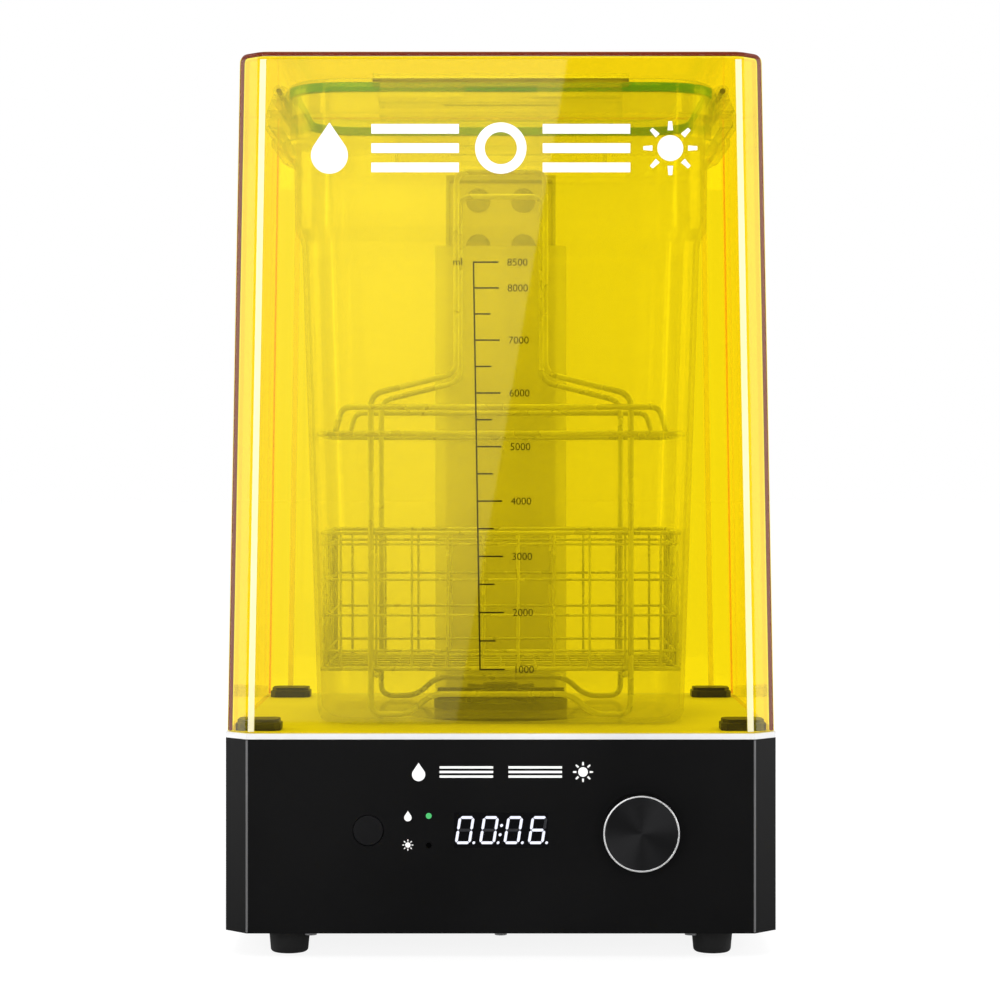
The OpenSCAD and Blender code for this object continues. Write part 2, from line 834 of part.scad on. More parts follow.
module lid_shell() {
    function outline(hw, hd, r, z) = at_height(round_points(hw, hd, r), z);
    skirt = 2.4;
    loft([
        outline(110, 89.5, 27, 462.8),
        outline(lid_half_w - skirt, lid_half_d - skirt, 31, 462.8),
        outline(lid_half_w - skirt, lid_half_d - skirt, 31, 446),
        outline(lid_half_w, lid_half_d, 33, 446),
        outline(lid_half_w, lid_half_d, 33, 459),
        outline(lid_half_w - 1.6, lid_half_d - 1.6, 32, 463),
        outline(lid_half_w - 5, lid_half_d - 5, 30, lid_top - 0.5),
        outline(lid_half_w - 8, lid_half_d - 8, 28, lid_top),
        outline(100, 79.5, 22, lid_top),
        outline(98.5, 78, 21, lid_top - 1.2)
    ]);
}

module lid() {
    color("#dfe6e2", 0.5) union() {
        placed() translate([0, tub_y, 0]) lid_shell();
        for (k = [0:3], s = [-1, 1]) on_side(k)
            translate([s * (latch_length(k) / 2 + ear_w / 2 + 0.3), 0, 0]) difference() {
                union() {
                    translate([-ear_w / 2, 0, 0]) rotate([0, 90, 0]) cylinder(h = ear_w, r = 3.4);
                    translate([-ear_w / 2, 0, -3]) cube([ear_w, hinge_out + 2, 4.5]);
                }
                translate([-ear_w, 0, 0]) rotate([0, 90, 0]) cylinder(h = 2 * ear_w, r = pin_r);
            }
    }
}

module lid_gasket() {
    low = rim_top + 0.2;
    high = 462.7;
    color("#12a58c") placed() translate([0, tub_y, low]) linear_extrude(high - low) difference() {
        polygon(round_points(115.3, 94.8, 30.5));
        polygon(round_points(111, 90.5, 27));
    }
}

module latch_pins() {
    color("#c4c6c9") for (k = [0:3]) on_side(k) {
        length = latch_length(k) + 2 * ear_w + 0.6;
        translate([-length / 2, 0, 0]) rotate([0, 90, 0]) cylinder(h = length, r = pin_r);
    }
}

module latch(k) {
    length = latch_length(k);
    slot_w = 38;
    rib = 2.5;
    color("#e3e8dc", 0.6) on_side(k) difference() {
        union() {
            translate([-length / 2, 0, 0]) rotate([90, 0, 90]) linear_extrude(length) polygon([
                [1.6, 0], [1.6, -20.5], [0.6, -22], [-5.5, -22], [-7.8, -20.8],
                [-8.3, -17.5], [-7.4, -11.5], [-4.6, -5], [-3.4, 0]]);
            translate([-length / 2, 0, 0]) rotate([0, 90, 0]) cylinder(h = length, r = 3.4);
        }
        translate([-length, 0, 0]) rotate([0, 90, 0]) cylinder(h = 2 * length, r = latch_bore_r);
        translate([-slot_w / 2, -10, -10]) cube([slot_w, 14, 6]);
        translate([-length / 2 + rib, 0, 0]) rotate([90, 0, 90]) linear_extrude(length - 2 * rib)
            polygon([[3, -12.5], [3, -19.8], [-5.4, -19.8], [-5.9, -17], [-4.8, -12.5]]);
    }
}

module latch_front() {
    latch(0);
}

module latch_right() {
    latch(1);
}

module latch_back() {
    latch(2);
}

module latch_left() {
    latch(3);
}

base_housing();
bottom_plate();
bottom_screws();
rubber_feet();
foot_screws();
deck_plate();
deck_screws();
cover_blocks();
display_window();
display_module();
wash_led();
cure_led();
front_board();
button_switch();
encoder_body();
main_board();
board_standoffs();
ribbon_cable();
motor_bracket();
motor_can();
motor_screws();
lamp_housing();
lamp_board();
lamp_lenses();
lamp_shield();
lamp_screws();
power_jack();
jack_pin();
rocker_frame();
drive_disc();
drive_magnets();
motor_shaft();
encoder_plunger();
encoder_shaft();
knob_shell();
knob_hub();
mode_button();
power_rocker();
cover();
tub();
impeller_pin();
impeller();
impeller_magnets();
rack_front_loop();
rack_back_loop();
rack_ties();
rack_ring();
rack_hangers();
basket_front();
basket_back();
basket_left();
basket_right();
basket_floor();
lid();
lid_gasket();
latch_pins();
latch_front();
latch_right();
latch_back();
latch_left();
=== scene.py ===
"""Looks of the wash-and-cure station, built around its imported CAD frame. Metres, +Z up, front -Y."""
import math

import bmesh
import bpy
from mathutils import Matrix, Vector


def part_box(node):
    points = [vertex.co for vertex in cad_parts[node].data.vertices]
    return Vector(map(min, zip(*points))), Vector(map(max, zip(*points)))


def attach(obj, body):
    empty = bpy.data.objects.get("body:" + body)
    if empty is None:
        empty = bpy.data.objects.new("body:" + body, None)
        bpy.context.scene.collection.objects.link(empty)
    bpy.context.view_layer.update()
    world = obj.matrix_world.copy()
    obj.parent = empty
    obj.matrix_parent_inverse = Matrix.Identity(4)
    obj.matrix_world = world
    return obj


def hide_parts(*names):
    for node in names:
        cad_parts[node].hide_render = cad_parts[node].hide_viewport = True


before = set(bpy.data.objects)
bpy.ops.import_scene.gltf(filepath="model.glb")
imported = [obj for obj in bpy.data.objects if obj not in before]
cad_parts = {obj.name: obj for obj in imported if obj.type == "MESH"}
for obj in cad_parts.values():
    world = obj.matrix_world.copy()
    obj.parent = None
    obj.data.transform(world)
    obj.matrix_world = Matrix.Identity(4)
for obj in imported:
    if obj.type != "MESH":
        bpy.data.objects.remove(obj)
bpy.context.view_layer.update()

MM = 0.001
SCENE = bpy.context.scene


def in_mm(*pairs):
    """The pairs as a list, turned from millimetres into metres."""
    return [(u * MM, v * MM) for u, v in pairs]


# ---- places read from the frame
cover_low, cover_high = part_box("cover")
tub_low, tub_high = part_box("tub")
window_low, window_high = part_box("display_window")
FRONT_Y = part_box("base_housing")[0].y
TUB_Y = (tub_low.y + tub_high.y) / 2
COVER_Y = (cover_low.y + cover_high.y) / 2


# ---- mesh helpers
def apply_modifiers(obj):
    """Swaps the object's mesh for the one that its modifiers make."""
    bpy.context.view_layer.update()
    evaluated = obj.evaluated_get(bpy.context.evaluated_depsgraph_get())
    mesh = bpy.data.meshes.new_from_object(evaluated)
    obj.modifiers.clear()
    obj.data = mesh


def finish_mesh(obj, smooth_angle):
    """Smooth shading, sharp edges where faces meet at more than smooth_angle, and even flat faces."""
    mesh = obj.data
    mesh.polygons.foreach_set("use_smooth", [True] * len(mesh.polygons))
    mesh.set_sharp_from_angle(angle=math.radians(smooth_angle))
    mesh.update()
    even = obj.modifiers.new("even", "WEIGHTED_NORMAL")
    even.mode = "FACE_AREA"
    even.weight = 50
    even.keep_sharp = True
    apply_modifiers(obj)


def add_piece(name, bm, body, materials, replaces=(), smooth_angle=35):
    """Turns a bmesh into a piece that rides on body, takes the given materials and stands for CAD nodes."""
    mesh = bpy.data.meshes.new(name)
    bmesh.ops.recalc_face_normals(bm, faces=bm.faces)
    bm.to_mesh(mesh)
    bm.free()
    obj = bpy.data.objects.new(name, mesh)
    SCENE.collection.objects.link(obj)
    for material in materials:
        mesh.materials.append(material)
    finish_mesh(obj, smooth_angle)
    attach(obj, body)
    if replaces:
        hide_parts(*replaces)
    return obj


def refined(node, body, material, width):
    """A copy of a CAD node with its flat faces rejoined and its sharp edges rounded, shown instead of it."""
    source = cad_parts[node]
    bm = bmesh.new()
    bm.from_mesh(source.data)
    bmesh.ops.remove_doubles(bm, verts=bm.verts, dist=0.002 * MM)
    bmesh.ops.dissolve_limit(bm, angle_limit=math.radians(0.5), verts=bm.verts, edges=bm.edges)
    mesh = bpy.data.meshes.new(node + "_shown")
    bm.to_mesh(mesh)
    bm.free()
    obj = bpy.data.objects.new(mesh.name, mesh)
    SCENE.collection.objects.link(obj)
    bevel = obj.modifiers.new("round", "BEVEL")
    bevel.width = width
    bevel.segments = 2
    bevel.limit_method = "ANGLE"
    bevel.angle_limit = math.radians(32)
    bevel.use_clamp_overlap = True
    bevel.harden_normals = False
    apply_modifiers(obj)
    obj.data.materials.clear()
    obj.data.materials.append(material)
    finish_mesh(obj, 40)
    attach(obj, body)
    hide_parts(node)
    return obj


def ring_points(hw, hd, r, z):
    """A rounded rectangle round the tub's middle at height z, anticlockwise from above."""
    steps = 10
    points = []
    for quarter, (sx, sy) in enumerate(((-1, -1), (1, -1), (1, 1), (-1, 1))):
        for i in range(steps + 1):
            a = math.radians(180 + 90 * quarter + 90 * i / steps)
            points.append(Vector((sx * (hw - r) + r * math.cos(a),
                                  TUB_Y + sy * (hd - r) + r * math.sin(a), z)))
    return points


def loft(bm, rings):
    """Joins rings of equal length with quads, and closes the first and last one."""
    rows = [[bm.verts.new(p) for p in ring] for ring in rings]
    count = len(rows[0])
    for low, high in zip(rows, rows[1:]):
        for i in range(count):
            j = (i + 1) % count
            bm.faces.new((low[i], low[j], high[j], high[i]))
    bm.faces.new(rows[0][::-1])
    bm.faces.new(rows[-1])


def round_path(points, radius, closed=False, steps=6):
    """The path with each corner replaced by a short smooth curve."""
    count = len(points)
    path = []
    for i, p in enumerate(points):
        if not closed and i in (0, count - 1):
            path.append(p.copy())
            continue
        a, b = points[i - 1], points[(i + 1) % count]
        start = p + (a - p).normalized() * min(radius, (a - p).length * 0.49)
        end = p + (b - p).normalized() * min(radius, (b - p).length * 0.49)
        for k in range(steps + 1):
            t = k / steps
            path.append(start * (1 - t) ** 2 + p * 2 * t * (1 - t) + end * t * t)
    return path


def tube(bm, path, radius, closed=False, sides=12, material_index=0):
    """A round wire swept along the path, with domed ends when it is open."""
    count = len(path)
    frames = []
    normal = None
    for i, p in enumerate(path):
        before = path[i - 1] if closed or i > 0 else p
        after = path[(i + 1) % count] if closed or i < count - 1 else p
        tangent = (after - before).normalized()
        if normal is None:
            helper = Vector((0, 0, 1)) if abs(tangent.z) < 0.9 else Vector((1, 0, 0))
            normal = tangent.cross(helper).normalized()
        normal = (normal - tangent * normal.dot(tangent)).normalized()
        frames.append((p, tangent, normal.copy(), tangent.cross(normal)))
    rows = []
    for p, tangent, n, b in frames:
        rows.append([bm.verts.new(p + (n * math.cos(2 * math.pi * k / sides)
                                       + b * math.sin(2 * math.pi * k / sides)) * radius)
                     for k in range(sides)])
    pairs = list(zip(rows, rows[1:]))
    if closed:
        last, first = rows[-1], rows[0]
        shift = min(range(sides), key=lambda s: (last[0].co - first[s].co).length)
        pairs.append((last, first[shift:] + first[:shift]))
    for low, high in pairs:
        for k in range(sides):
            m = (k + 1) % sides
            bm.faces.new((low[k], low[m], high[m], high[k])).material_index = material_index
    if not closed:
        for row, (p, tangent, _, _), sign in ((rows[0], frames[0], -1), (rows[-1], frames[-1], 1)):
            ring = [bm.verts.new(p + (v.co - p) * 0.6 + tangent * sign * radius * 0.35) for v in row]
            for k in range(sides):
                m = (k + 1) % sides
                bm.faces.new((row[k], row[m], ring[m], ring[k])).material_index = material_index
            bm.faces.new(ring).material_index = material_index


def lathe(bm, profile, centre, sides, turn=Matrix.Identity(3), material_of=lambda row: 0):
    """Turns (radius, height) pairs about the axis through centre that turn makes of +Z."""
    rows = []
    for radius, height in profile:
        if radius < 1e-7:
            rows.append([bm.verts.new(centre + turn @ Vector((0, 0, height)))] * sides)
        else:
            rows.append([bm.verts.new(centre + turn @ Vector((
                radius * math.cos(2 * math.pi * k / sides),
                radius * math.sin(2 * math.pi * k / sides), height))) for k in range(sides)])
    for index, (low, high) in enumerate(zip(rows, rows[1:])):
        for k in range(sides):
            m = (k + 1) % sides
            corners = (low[k], low[m], high[m], high[k])
            unique = list(dict.fromkeys(corners))
            if len(unique) > 2:
                bm.faces.new(unique).material_index = material_of(index)


def flat_shape(bm, outline, place, thickness):
    """Extrudes a flat outline of (x, z) pairs; place maps (x, depth, z) to the row frame."""
    front = [bm.verts.new(place(x, 0, z)) for x, z in outline]
    back = [bm.verts.new(place(x, thickness, z)) for x, z in outline]
    count = len(outline)
    bm.faces.new(front)
    bm.faces.new(back[::-1])
    for i in range(count):
        j = (i + 1) % count
        bm.faces.new((front[i], back[i], back[j], front[j]))


def ring_of(count, radius, x, z):
    """Points on a circle, as pairs of coordinates in its plane."""
    return [(x + radius * math.cos(math.radians(360 * i / count)),
             z + radius * math.sin(math.radians(360 * i / count))) for i in range(count)]


# ---- material helpers
def empty_tree(owner):
    """Clears the owner's node tree. Returns the owner, a node maker and a link maker."""
    owner.use_nodes = True
    tree = owner.node_tree
    tree.nodes.clear()

    def node(kind, **inputs):
        made = tree.nodes.new("ShaderNode" + kind)
        for key, value in inputs.items():
            made.inputs[key.replace("_", " ")].default_value = value
        return made

    return owner, node, tree.links.new


def new_material(name):
    """A material without nodes, with a node maker and a link maker for it."""
    return empty_tree(bpy.data.materials.new(name))


def noise(node, link, scale, detail=3.0, stretch=(1, 1, 1)):
    """A noise texture in object coordinates, so that it holds still on the piece."""
    where = node("TexCoord")
    mapping = node("Mapping")
    mapping.inputs["Scale"].default_value = stretch
    texture = node("TexNoise", Scale=scale, Detail=detail)
    link(where.outputs["Object"], mapping.inputs["Vector"])
    link(mapping.outputs["Vector"], texture.inputs["Vector"])
    return texture.outputs["Fac"]


def spread(node, link, factor, low, high, start=0.3, end=0.7, blend="LINEAR"):
    """Maps a factor from start to end to the values low to high."""
    remap = node("MapRange", From_Min=start, From_Max=end, To_Min=low, To_Max=high)
    remap.interpolation_type = blend
    link(factor, remap.inputs["Value"])
    return remap.outputs["Result"]


def two_tones(node, link, factor, dark, light):
    """Blends two colours by the middle of a 0 to 1 factor's range."""
    ramp = node("ValToRGB")
    ramp.color_ramp.elements[0].position = 0.35
    ramp.color_ramp.elements[1].position = 0.68
    ramp.color_ramp.elements[0].color = (*dark, 1)
    ramp.color_ramp.elements[1].color = (*light, 1)
    link(factor, ramp.inputs["Fac"])
    return ramp.outputs["Color"]


def bumped(node, link, factor, strength, distance=0.0002):
    """A normal that follows a height factor."""
    bump = node("Bump", Strength=strength, Distance=distance)
    link(factor, bump.inputs["Height"])
    return bump.outputs["Normal"]


def grained(name, dark, light, rough, scale, bump, metallic=0.0, specular=0.5, blotch=14,
            stretch=(1, 1, 1)):
    """An opaque surface with a fine grain, slow blotches of tone and uneven gloss."""
    material, node, link = new_material(name)
    surface = node("BsdfPrincipled", Metallic=metallic, Specular_IOR_Level=specular)
    fine = noise(node, link, scale, stretch=stretch)
    slow = noise(node, link, blotch, detail=4)
    link(two_tones(node, link, slow, dark, light), surface.inputs["Base Color"])
    link(spread(node, link, slow, rough[0], rough[1]), surface.inputs["Roughness"])
    link(bumped(node, link, fine, bump), surface.inputs["Normal"])
    link(surface.outputs[0], node("OutputMaterial").inputs["Surface"])
    return material


def see_through(name, tint, edge_tint, body_colour, haze, rough, mirror=0.04, grazing=0.4, ripple=0.03,
                scatter=0.6):
    """Clear plastic: a straight view with a tint, a thin milky haze and a glossy skin.

    At a slant the tint deepens to edge_tint, and the skin mirrors up to grazing, alike on both
    sides of a wall. A share of the haze, scatter, glows with the light that comes from behind.
    """
    material, node, link = new_material(name)
    slant = node("LayerWeight", Blend=0.5)

    def steep(power):
        raised = node("Math")
        raised.operation = "POWER"
        raised.inputs[1].default_value = power
        link(slant.outputs["Facing"], raised.inputs[0])
        return raised.outputs[0]

    deepened = node("Mix")
    deepened.data_type = "RGBA"
    deepened.inputs[6].default_value = (*tint, 1)
    deepened.inputs[7].default_value = (*edge_tint, 1)
    link(steep(2.0), deepened.inputs["Factor"])
    through = node("BsdfTransparent")
    link(deepened.outputs[2], through.inputs["Color"])
    body = node("BsdfPrincipled", Roughness=0.5, Specular_IOR_Level=0.1, Base_Color=(*body_colour, 1))
    lit_through = node("BsdfTranslucent", Color=(*body_colour, 1))
    milk = node("MixShader", Fac=scatter)
    link(body.outputs[0], milk.inputs[1])
    link(lit_through.outputs[0], milk.inputs[2])
    skin = node("BsdfGlossy", Roughness=rough, Color=(1, 1, 1, 1))
    link(bumped(node, link, noise(node, link, 60, detail=2), ripple), skin.inputs["Normal"])
    cloudy = node("MixShader")
    link(spread(node, link, noise(node, link, 9), haze[0], haze[1]), cloudy.inputs["Fac"])
    link(through.outputs[0], cloudy.inputs[1])
    link(milk.outputs[0], cloudy.inputs[2])
    glossy = node("MixShader")
    link(spread(node, link, steep(5.0), mirror, grazing, 0.0, 1.0), glossy.inputs["Fac"])
    link(cloudy.outputs[0], glossy.inputs[1])
    link(skin.outputs[0], glossy.inputs[2])
    link(glossy.outputs[0], node("OutputMaterial").inputs["Surface"])
    return material


def glowing(name, colour, strength):
    """A lit lens or segment: emission under a smooth plastic skin, a little uneven."""
    material, node, link = new_material(name)
    surface = node("BsdfPrincipled", Roughness=0.25, Base_Color=(0.02, 0.02, 0.02, 1),
                   Emission_Strength=strength)
    tone = two_tones(node, link, noise(node, link, 400),
                     tuple(0.88 * c for c in colour), colour)
    link(tone, surface.inputs["Emission Color"])
    link(surface.outputs[0], node("OutputMaterial").inputs["Surface"])
    return material


# ---- materials
powder_black = grained("powder_black", (0.0026, 0.0026, 0.0028), (0.0036, 0.0036, 0.0038),
                       (0.42, 0.52), 1500, 0.12, specular=0.14)
plate_black = grained("plate_black", (0.010, 0.010, 0.011), (0.016, 0.016, 0.017),
                      (0.42, 0.52), 1200, 0.12)
moulded_black = grained("moulded_black", (0.006, 0.006, 0.006), (0.011, 0.011, 0.011),
                        (0.38, 0.5), 1100, 0.15)
button_black = grained("button_black", (0.004, 0.004, 0.0045), (0.006, 0.006, 0.0065),
                       (0.36, 0.46), 1000, 0.1, specular=0.16)
rubber_black = grained("rubber_black", (0.004, 0.004, 0.004), (0.009, 0.009, 0.009),
                       (0.62, 0.78), 800, 0.25)
deck_metal = grained("deck_metal", (0.7, 0.7, 0.7), (0.78, 0.78, 0.78),
                     (0.5, 0.62), 900, 0.08, specular=0.15)
deck_edge = grained("deck_edge", (0.55, 0.55, 0.56), (0.62, 0.62, 0.63), (0.4, 0.5), 900, 0.06)
bare_steel = grained("bare_steel", (0.42, 0.42, 0.43), (0.60, 0.60, 0.61),
                     (0.22, 0.36), 700, 0.08, metallic=1.0)
wire_steel = grained("wire_steel", (0.5, 0.51, 0.48), (0.64, 0.65, 0.62),
                     (0.22, 0.36), 500, 0.06, metallic=0.5, blotch=40)
motor_metal = grained("motor_metal", (0.16, 0.16, 0.17), (0.26, 0.26, 0.27),
                      (0.3, 0.42), 600, 0.08, metallic=0.9)
magnet_nickel = grained("magnet_nickel", (0.5, 0.5, 0.5), (0.66, 0.66, 0.66),
                        (0.12, 0.2), 500, 0.04, metallic=1.0)
brass = grained("brass", (0.52, 0.36, 0.12), (0.66, 0.48, 0.2), (0.22, 0.34), 600, 0.05, metallic=1.0)
board_green = grained("board_green", (0.008, 0.06, 0.022), (0.012, 0.09, 0.033),
                      (0.3, 0.45), 300, 0.2, blotch=90)
board_white = grained("board_white", (0.7, 0.68, 0.62), (0.8, 0.78, 0.72), (0.35, 0.5), 300, 0.15)
ribbon_grey = grained("ribbon_grey", (0.16, 0.16, 0.18), (0.26, 0.26, 0.28), (0.4, 0.55),
                      900, 0.5, stretch=(1, 0.02, 0.02))
lamp_metal = grained("lamp_metal", (0.5, 0.5, 0.49), (0.58, 0.58, 0.57), (0.4, 0.55), 900, 0.1)
impeller_dark = grained("impeller_dark", (0.02, 0.022, 0.016), (0.035, 0.038, 0.028),
                        (0.35, 0.5), 700, 0.12)
gasket_teal = grained("gasket_teal", (0.0, 0.22, 0.14), (0.0, 0.32, 0.21), (0.4, 0.55), 500, 0.12)
window_gloss = grained("window_gloss", (0.0012, 0.0012, 0.0018), (0.002, 0.002, 0.0026),
                       (0.05, 0.09), 300, 0.01, specular=0.4)
ink_dark = grained("ink_dark", (0.006, 0.006, 0.002), (0.014, 0.014, 0.005), (0.5, 0.6), 1500, 0.1,
                   specular=0.1)
print_white = grained("print_white", (0.78, 0.78, 0.78), (0.9, 0.9, 0.9), (0.4, 0.5), 1500, 0.1)
chrome_cut = grained("chrome_cut", (0.82, 0.82, 0.83), (0.92, 0.92, 0.93), (0.2, 0.28), 900, 0.03,
                     metallic=0.65)
knob_side = grained("knob_side", (0.012, 0.012, 0.013), (0.02, 0.02, 0.021), (0.3, 0.4), 900, 0.1,
                    metallic=0.9)
# Painted highlight: a lighter grey than the base's black, for the glint on its front edges.
painted_highlight_grey = grained("painted_highlight_grey", (0.08, 0.08, 0.082), (0.1, 0.1, 0.102), (0.4, 0.5), 1500, 0.1)
cover_yellow = see_through("cover_yellow", (1.0, 0.935, 0.2), (1.0, 0.89, 0.16), (0.9, 0.62, 0.02),
                           (0.0, 0.004), 0.02, mirror=0.032, grazing=0.3, ripple=0.004)
# Painted shade: the deep red of the cover's wall seen edge-on along its outline.
painted_shade_red = see_through("painted_shade_red", (0.6, 0.2, 0.08), (0.5, 0.12, 0.05), (0.27, 0.045, 0.012),
                       (0.82, 0.92), 0.18, mirror=0.015, grazing=0.1)
# Painted highlight: pale milky strips for the shine along the cover's front edges.
painted_highlight_pale = see_through("painted_highlight_pale", (1.0, 0.99, 0.9), (1.0, 0.98, 0.85), (1.0, 0.99, 0.9),
                        (0.45, 0.6), 0.25, scatter=0.2)
amber_rim_line = see_through("amber_rim_line", (1.0, 0.75, 0.2), (1.0, 0.65, 0.15), (1.0, 0.5, 0.08),
                         (0.3, 0.4), 0.2)
tub_plastic = see_through("tub_plastic", (0.985, 0.985, 0.98), (0.86, 0.85, 0.7), (0.97, 0.97, 0.93),
                          (0.1, 0.15), 0.07)
lid_plastic = see_through("lid_plastic", (0.99, 0.99, 0.985), (0.88, 0.88, 0.8), (0.97, 0.98, 0.93),
                          (0.07, 0.11), 0.1)
moulded_grip = see_through("moulded_grip", (0.86, 0.86, 0.8), (0.6, 0.6, 0.5), (0.7, 0.72, 0.6),
                           (0.2, 0.3), 0.2)
lens_plastic = see_through("lens_plastic", (0.8, 0.81, 0.78), (0.6, 0.6, 0.55), (0.3, 0.32, 0.3),
                           (0.2, 0.3), 0.08)
shield_plastic = see_through("shield_plastic", (0.97, 0.97, 0.94), (0.8, 0.8, 0.72), (0.84, 0.85, 0.78),
                             (0.5, 0.6), 0.1, scatter=0.1)
segment_lit = glowing("segment_lit", (0.86, 0.88, 1.0), 1.25)
segment_off = grained("segment_off", (0.016, 0.016, 0.019), (0.024, 0.024, 0.028), (0.3, 0.4), 900, 0.02)
led_lit = glowing("led_lit", (0.1, 0.9, 0.25), 0.7)
led_dark = grained("led_dark", (0.0004, 0.0004, 0.0004), (0.0009, 0.0009, 0.0009), (0.3, 0.4), 400, 0.02,
                   specular=0.03)


# ---- camera, light and floor
CAMERA_DISTANCE = 1.415
CAMERA_HEIGHT = 0.2497
FLOOR_HALF = 30
MIDDLE = (0, 0, 0.26)
# Name, place, width and height, watts, and whether it shows in reflections
LIGHTS = (
    ("key", (-0.4, -0.9, 1.9), (1.2, 0.9), 9, True),
    ("left_box", (-1.5, 0.1, 0.6), (0.9, 1.3), 9, True),
    ("right_box", (1.5, 0.1, 0.6), (0.9, 1.3), 9, True),
    ("top_box", (0.1, 0.35, 1.7), (1.1, 1.1), 9, True),
    ("back_box", (0, 1.7, 0.8), (1.5, 1.1), 6, False),
    ("left_strip", (-1.6, -1.7, 0.35), (0.3, 1.3), 5, True),
    ("right_strip", (1.6, -1.7, 0.35), (0.3, 1.3), 5, True),
    ("front_fill", (0, -2.4, 0.5), (2.0, 1.0), 36, False),
)


def build_camera():
    """Level with the middle of the object, straight in front of it."""
    camera = bpy.data.cameras.new("camera")
    camera.lens = 97.4
    camera.sensor_width = 36
    camera.shift_x = -0.0008
    camera.shift_y = -0.020
    obj = bpy.data.objects.new("camera", camera)
    obj.location = (0, FRONT_Y - CAMERA_DISTANCE, CAMERA_HEIGHT)
    obj.rotation_euler = (math.radians(90), 0, 0)
    SCENE.collection.objects.link(obj)
    SCENE.camera = obj


def area_light(name, place, size, power, mirrored):
    """A soft box aimed at the object, which the camera doesn't see."""
    light = bpy.data.lights.new(name, "AREA")
    light.shape = "RECTANGLE"
    light.size, light.size_y = size
    light.energy = power
    obj = bpy.data.objects.new(name, light)
    obj.location = place
    obj.rotation_euler = (Vector(MIDDLE) - Vector(place)).to_track_quat("-Z", "Y").to_euler()
    obj.visible_camera = False
    obj.visible_glossy = mirrored
    SCENE.collection.objects.link(obj)


def build_world():
    """White behind the object; for light and reflections it is bright behind and dark in front."""
    SCENE.world, node, link = empty_tree(bpy.data.worlds.new("studio"))
    seen = node("Background", Color=(1, 1, 1, 1))
    lit = node("Background", Color=(0.98, 0.99, 1, 1))
    axes = node("SeparateXYZ")
    link(node("TexCoord").outputs["Generated"], axes.inputs[0])
    link(spread(node, link, axes.outputs["Y"], 0.12, 0.95, -0.8, 0.2, "SMOOTHSTEP"), lit.inputs["Strength"])
    mix = node("MixShader")
    link(node("LightPath").outputs["Is Camera Ray"], mix.inputs["Fac"])
    link(lit.outputs[0], mix.inputs[1])
    link(seen.outputs[0], mix.inputs[2])
    link(mix.outputs[0], node("OutputWorld").inputs["Surface"])


def stage_sheet(name, corners, material):
    """One flat face that belongs to the studio."""
    mesh = bpy.data.meshes.new(name)
    mesh.from_pydata(corners, [], [range(len(corners))])
    mesh.materials.append(material)
    obj = bpy.data.objects.new(name, mesh)
    SCENE.collection.objects.link(obj)
    return obj


def build_floor():
    """Pale floor. The camera sees it almost white, and reflections see it fade to the dark front."""
    material, node, link = new_material("floor_pale")
    surface = node("BsdfPrincipled", Base_Color=(0.9, 0.9, 0.9, 1), Roughness=0.9,
                   Specular_IOR_Level=0.1)
    glow = node("Emission", Color=(1, 1, 1, 1), Strength=1.1)
    both = node("MixShader", Fac=0.8)
    dim = node("Emission", Color=(1, 1, 1, 1))
    axes = node("SeparateXYZ")
    link(node("TexCoord").outputs["Object"], axes.inputs[0])
    link(spread(node, link, axes.outputs["Y"], 0.12, 0.95, -0.2, 0.6), dim.inputs["Strength"])
    path = node("LightPath")
    seen = node("MixShader")
    mirrored = node("MixShader")
    link(surface.outputs[0], both.inputs[1])
    link(glow.outputs[0], both.inputs[2])
    link(path.outputs["Is Camera Ray"], seen.inputs["Fac"])
    link(surface.outputs[0], seen.inputs[1])
    link(both.outputs[0], seen.inputs[2])
    link(path.outputs["Is Glossy Ray"], mirrored.inputs["Fac"])
    link(seen.outputs[0], mirrored.inputs[1])
    link(dim.outputs[0], mirrored.inputs[2])
    link(mirrored.outputs[0], node("OutputMaterial").inputs["Surface"])
    corners = ((-1, -1), (1, -1), (1, 1), (-1, 1))
    stage_sheet("floor", [(x * FLOOR_HALF, y * FLOOR_HALF, 0) for x, y in corners], material)


def build_reflection_card():
    """A tall slanted-edged white card behind the camera, seen only in glossy reflections."""
    y = FRONT_Y - CAMERA_DISTANCE - 0.105
    outline = ((-0.9, 0.035), (-0.049, 0.035), (0.076, 0.78), (-0.9, 0.78))
    material, node, link = new_material("card_white")
    glow = node("Emission", Color=(1, 1, 1, 1))
    axes = node("SeparateXYZ")
    link(node("TexCoord").outputs["Object"], axes.inputs[0])
    link(spread(node, link, axes.outputs["Z"], 0.7, 1.5, 0.1, 0.75), glow.inputs["Strength"])
    link(glow.outputs[0], node("OutputMaterial").inputs["Surface"])
    obj = stage_sheet("reflection_card", [(x, y, z) for x, z in outline], material)
    obj.visible_camera = False
    obj.visible_diffuse = False
    obj.visible_shadow = False
    obj.visible_transmission = False


def build_studio():
    """Plain colours, enough depth for the clear walls, and the lights."""
    SCENE.view_settings.view_transform = "Standard"
    SCENE.cycles.transparent_max_bounces = 48
    SCENE.cycles.caustics_reflective = False
    SCENE.cycles.caustics_refractive = False
    SCENE.cycles.sample_clamp_indirect = 4.0
    build_world()
    build_floor()
    build_reflection_card()
    for light in LIGHTS:
        area_light(*light)


# ---- cover
COVER_LEAN = 6 * MM
COVER_CUT = 11.5 * MM
BASE_CUT = 12 * MM
COVER_WALL = 3 * MM


def octagon(hw, hd, cut):
    """The (x, y) corners of a chamfered rectangle, anticlockwise from the front left."""
    return [(-hw + cut, -hd), (hw - cut, -hd), (hw, -hd + cut), (hw, hd - cut),
            (hw - cut, hd), (-hw + cut, hd), (-hw, hd - cut), (-hw, -hd + cut)]


def cover_corners(z, inset):
    """The cover's eight upright outer edges at height z, moved inwards by inset."""
    inset_here = inset + COVER_LEAN * (z - cover_low.z) / (cover_high.z - cover_low.z)
    outline = octagon(cover_high.x - inset_here, cover_high.y - COVER_Y - inset_here,
                      COVER_CUT - inset * 0.4)
    return [Vector((x, y + COVER_Y, z)) for x, y in outline]


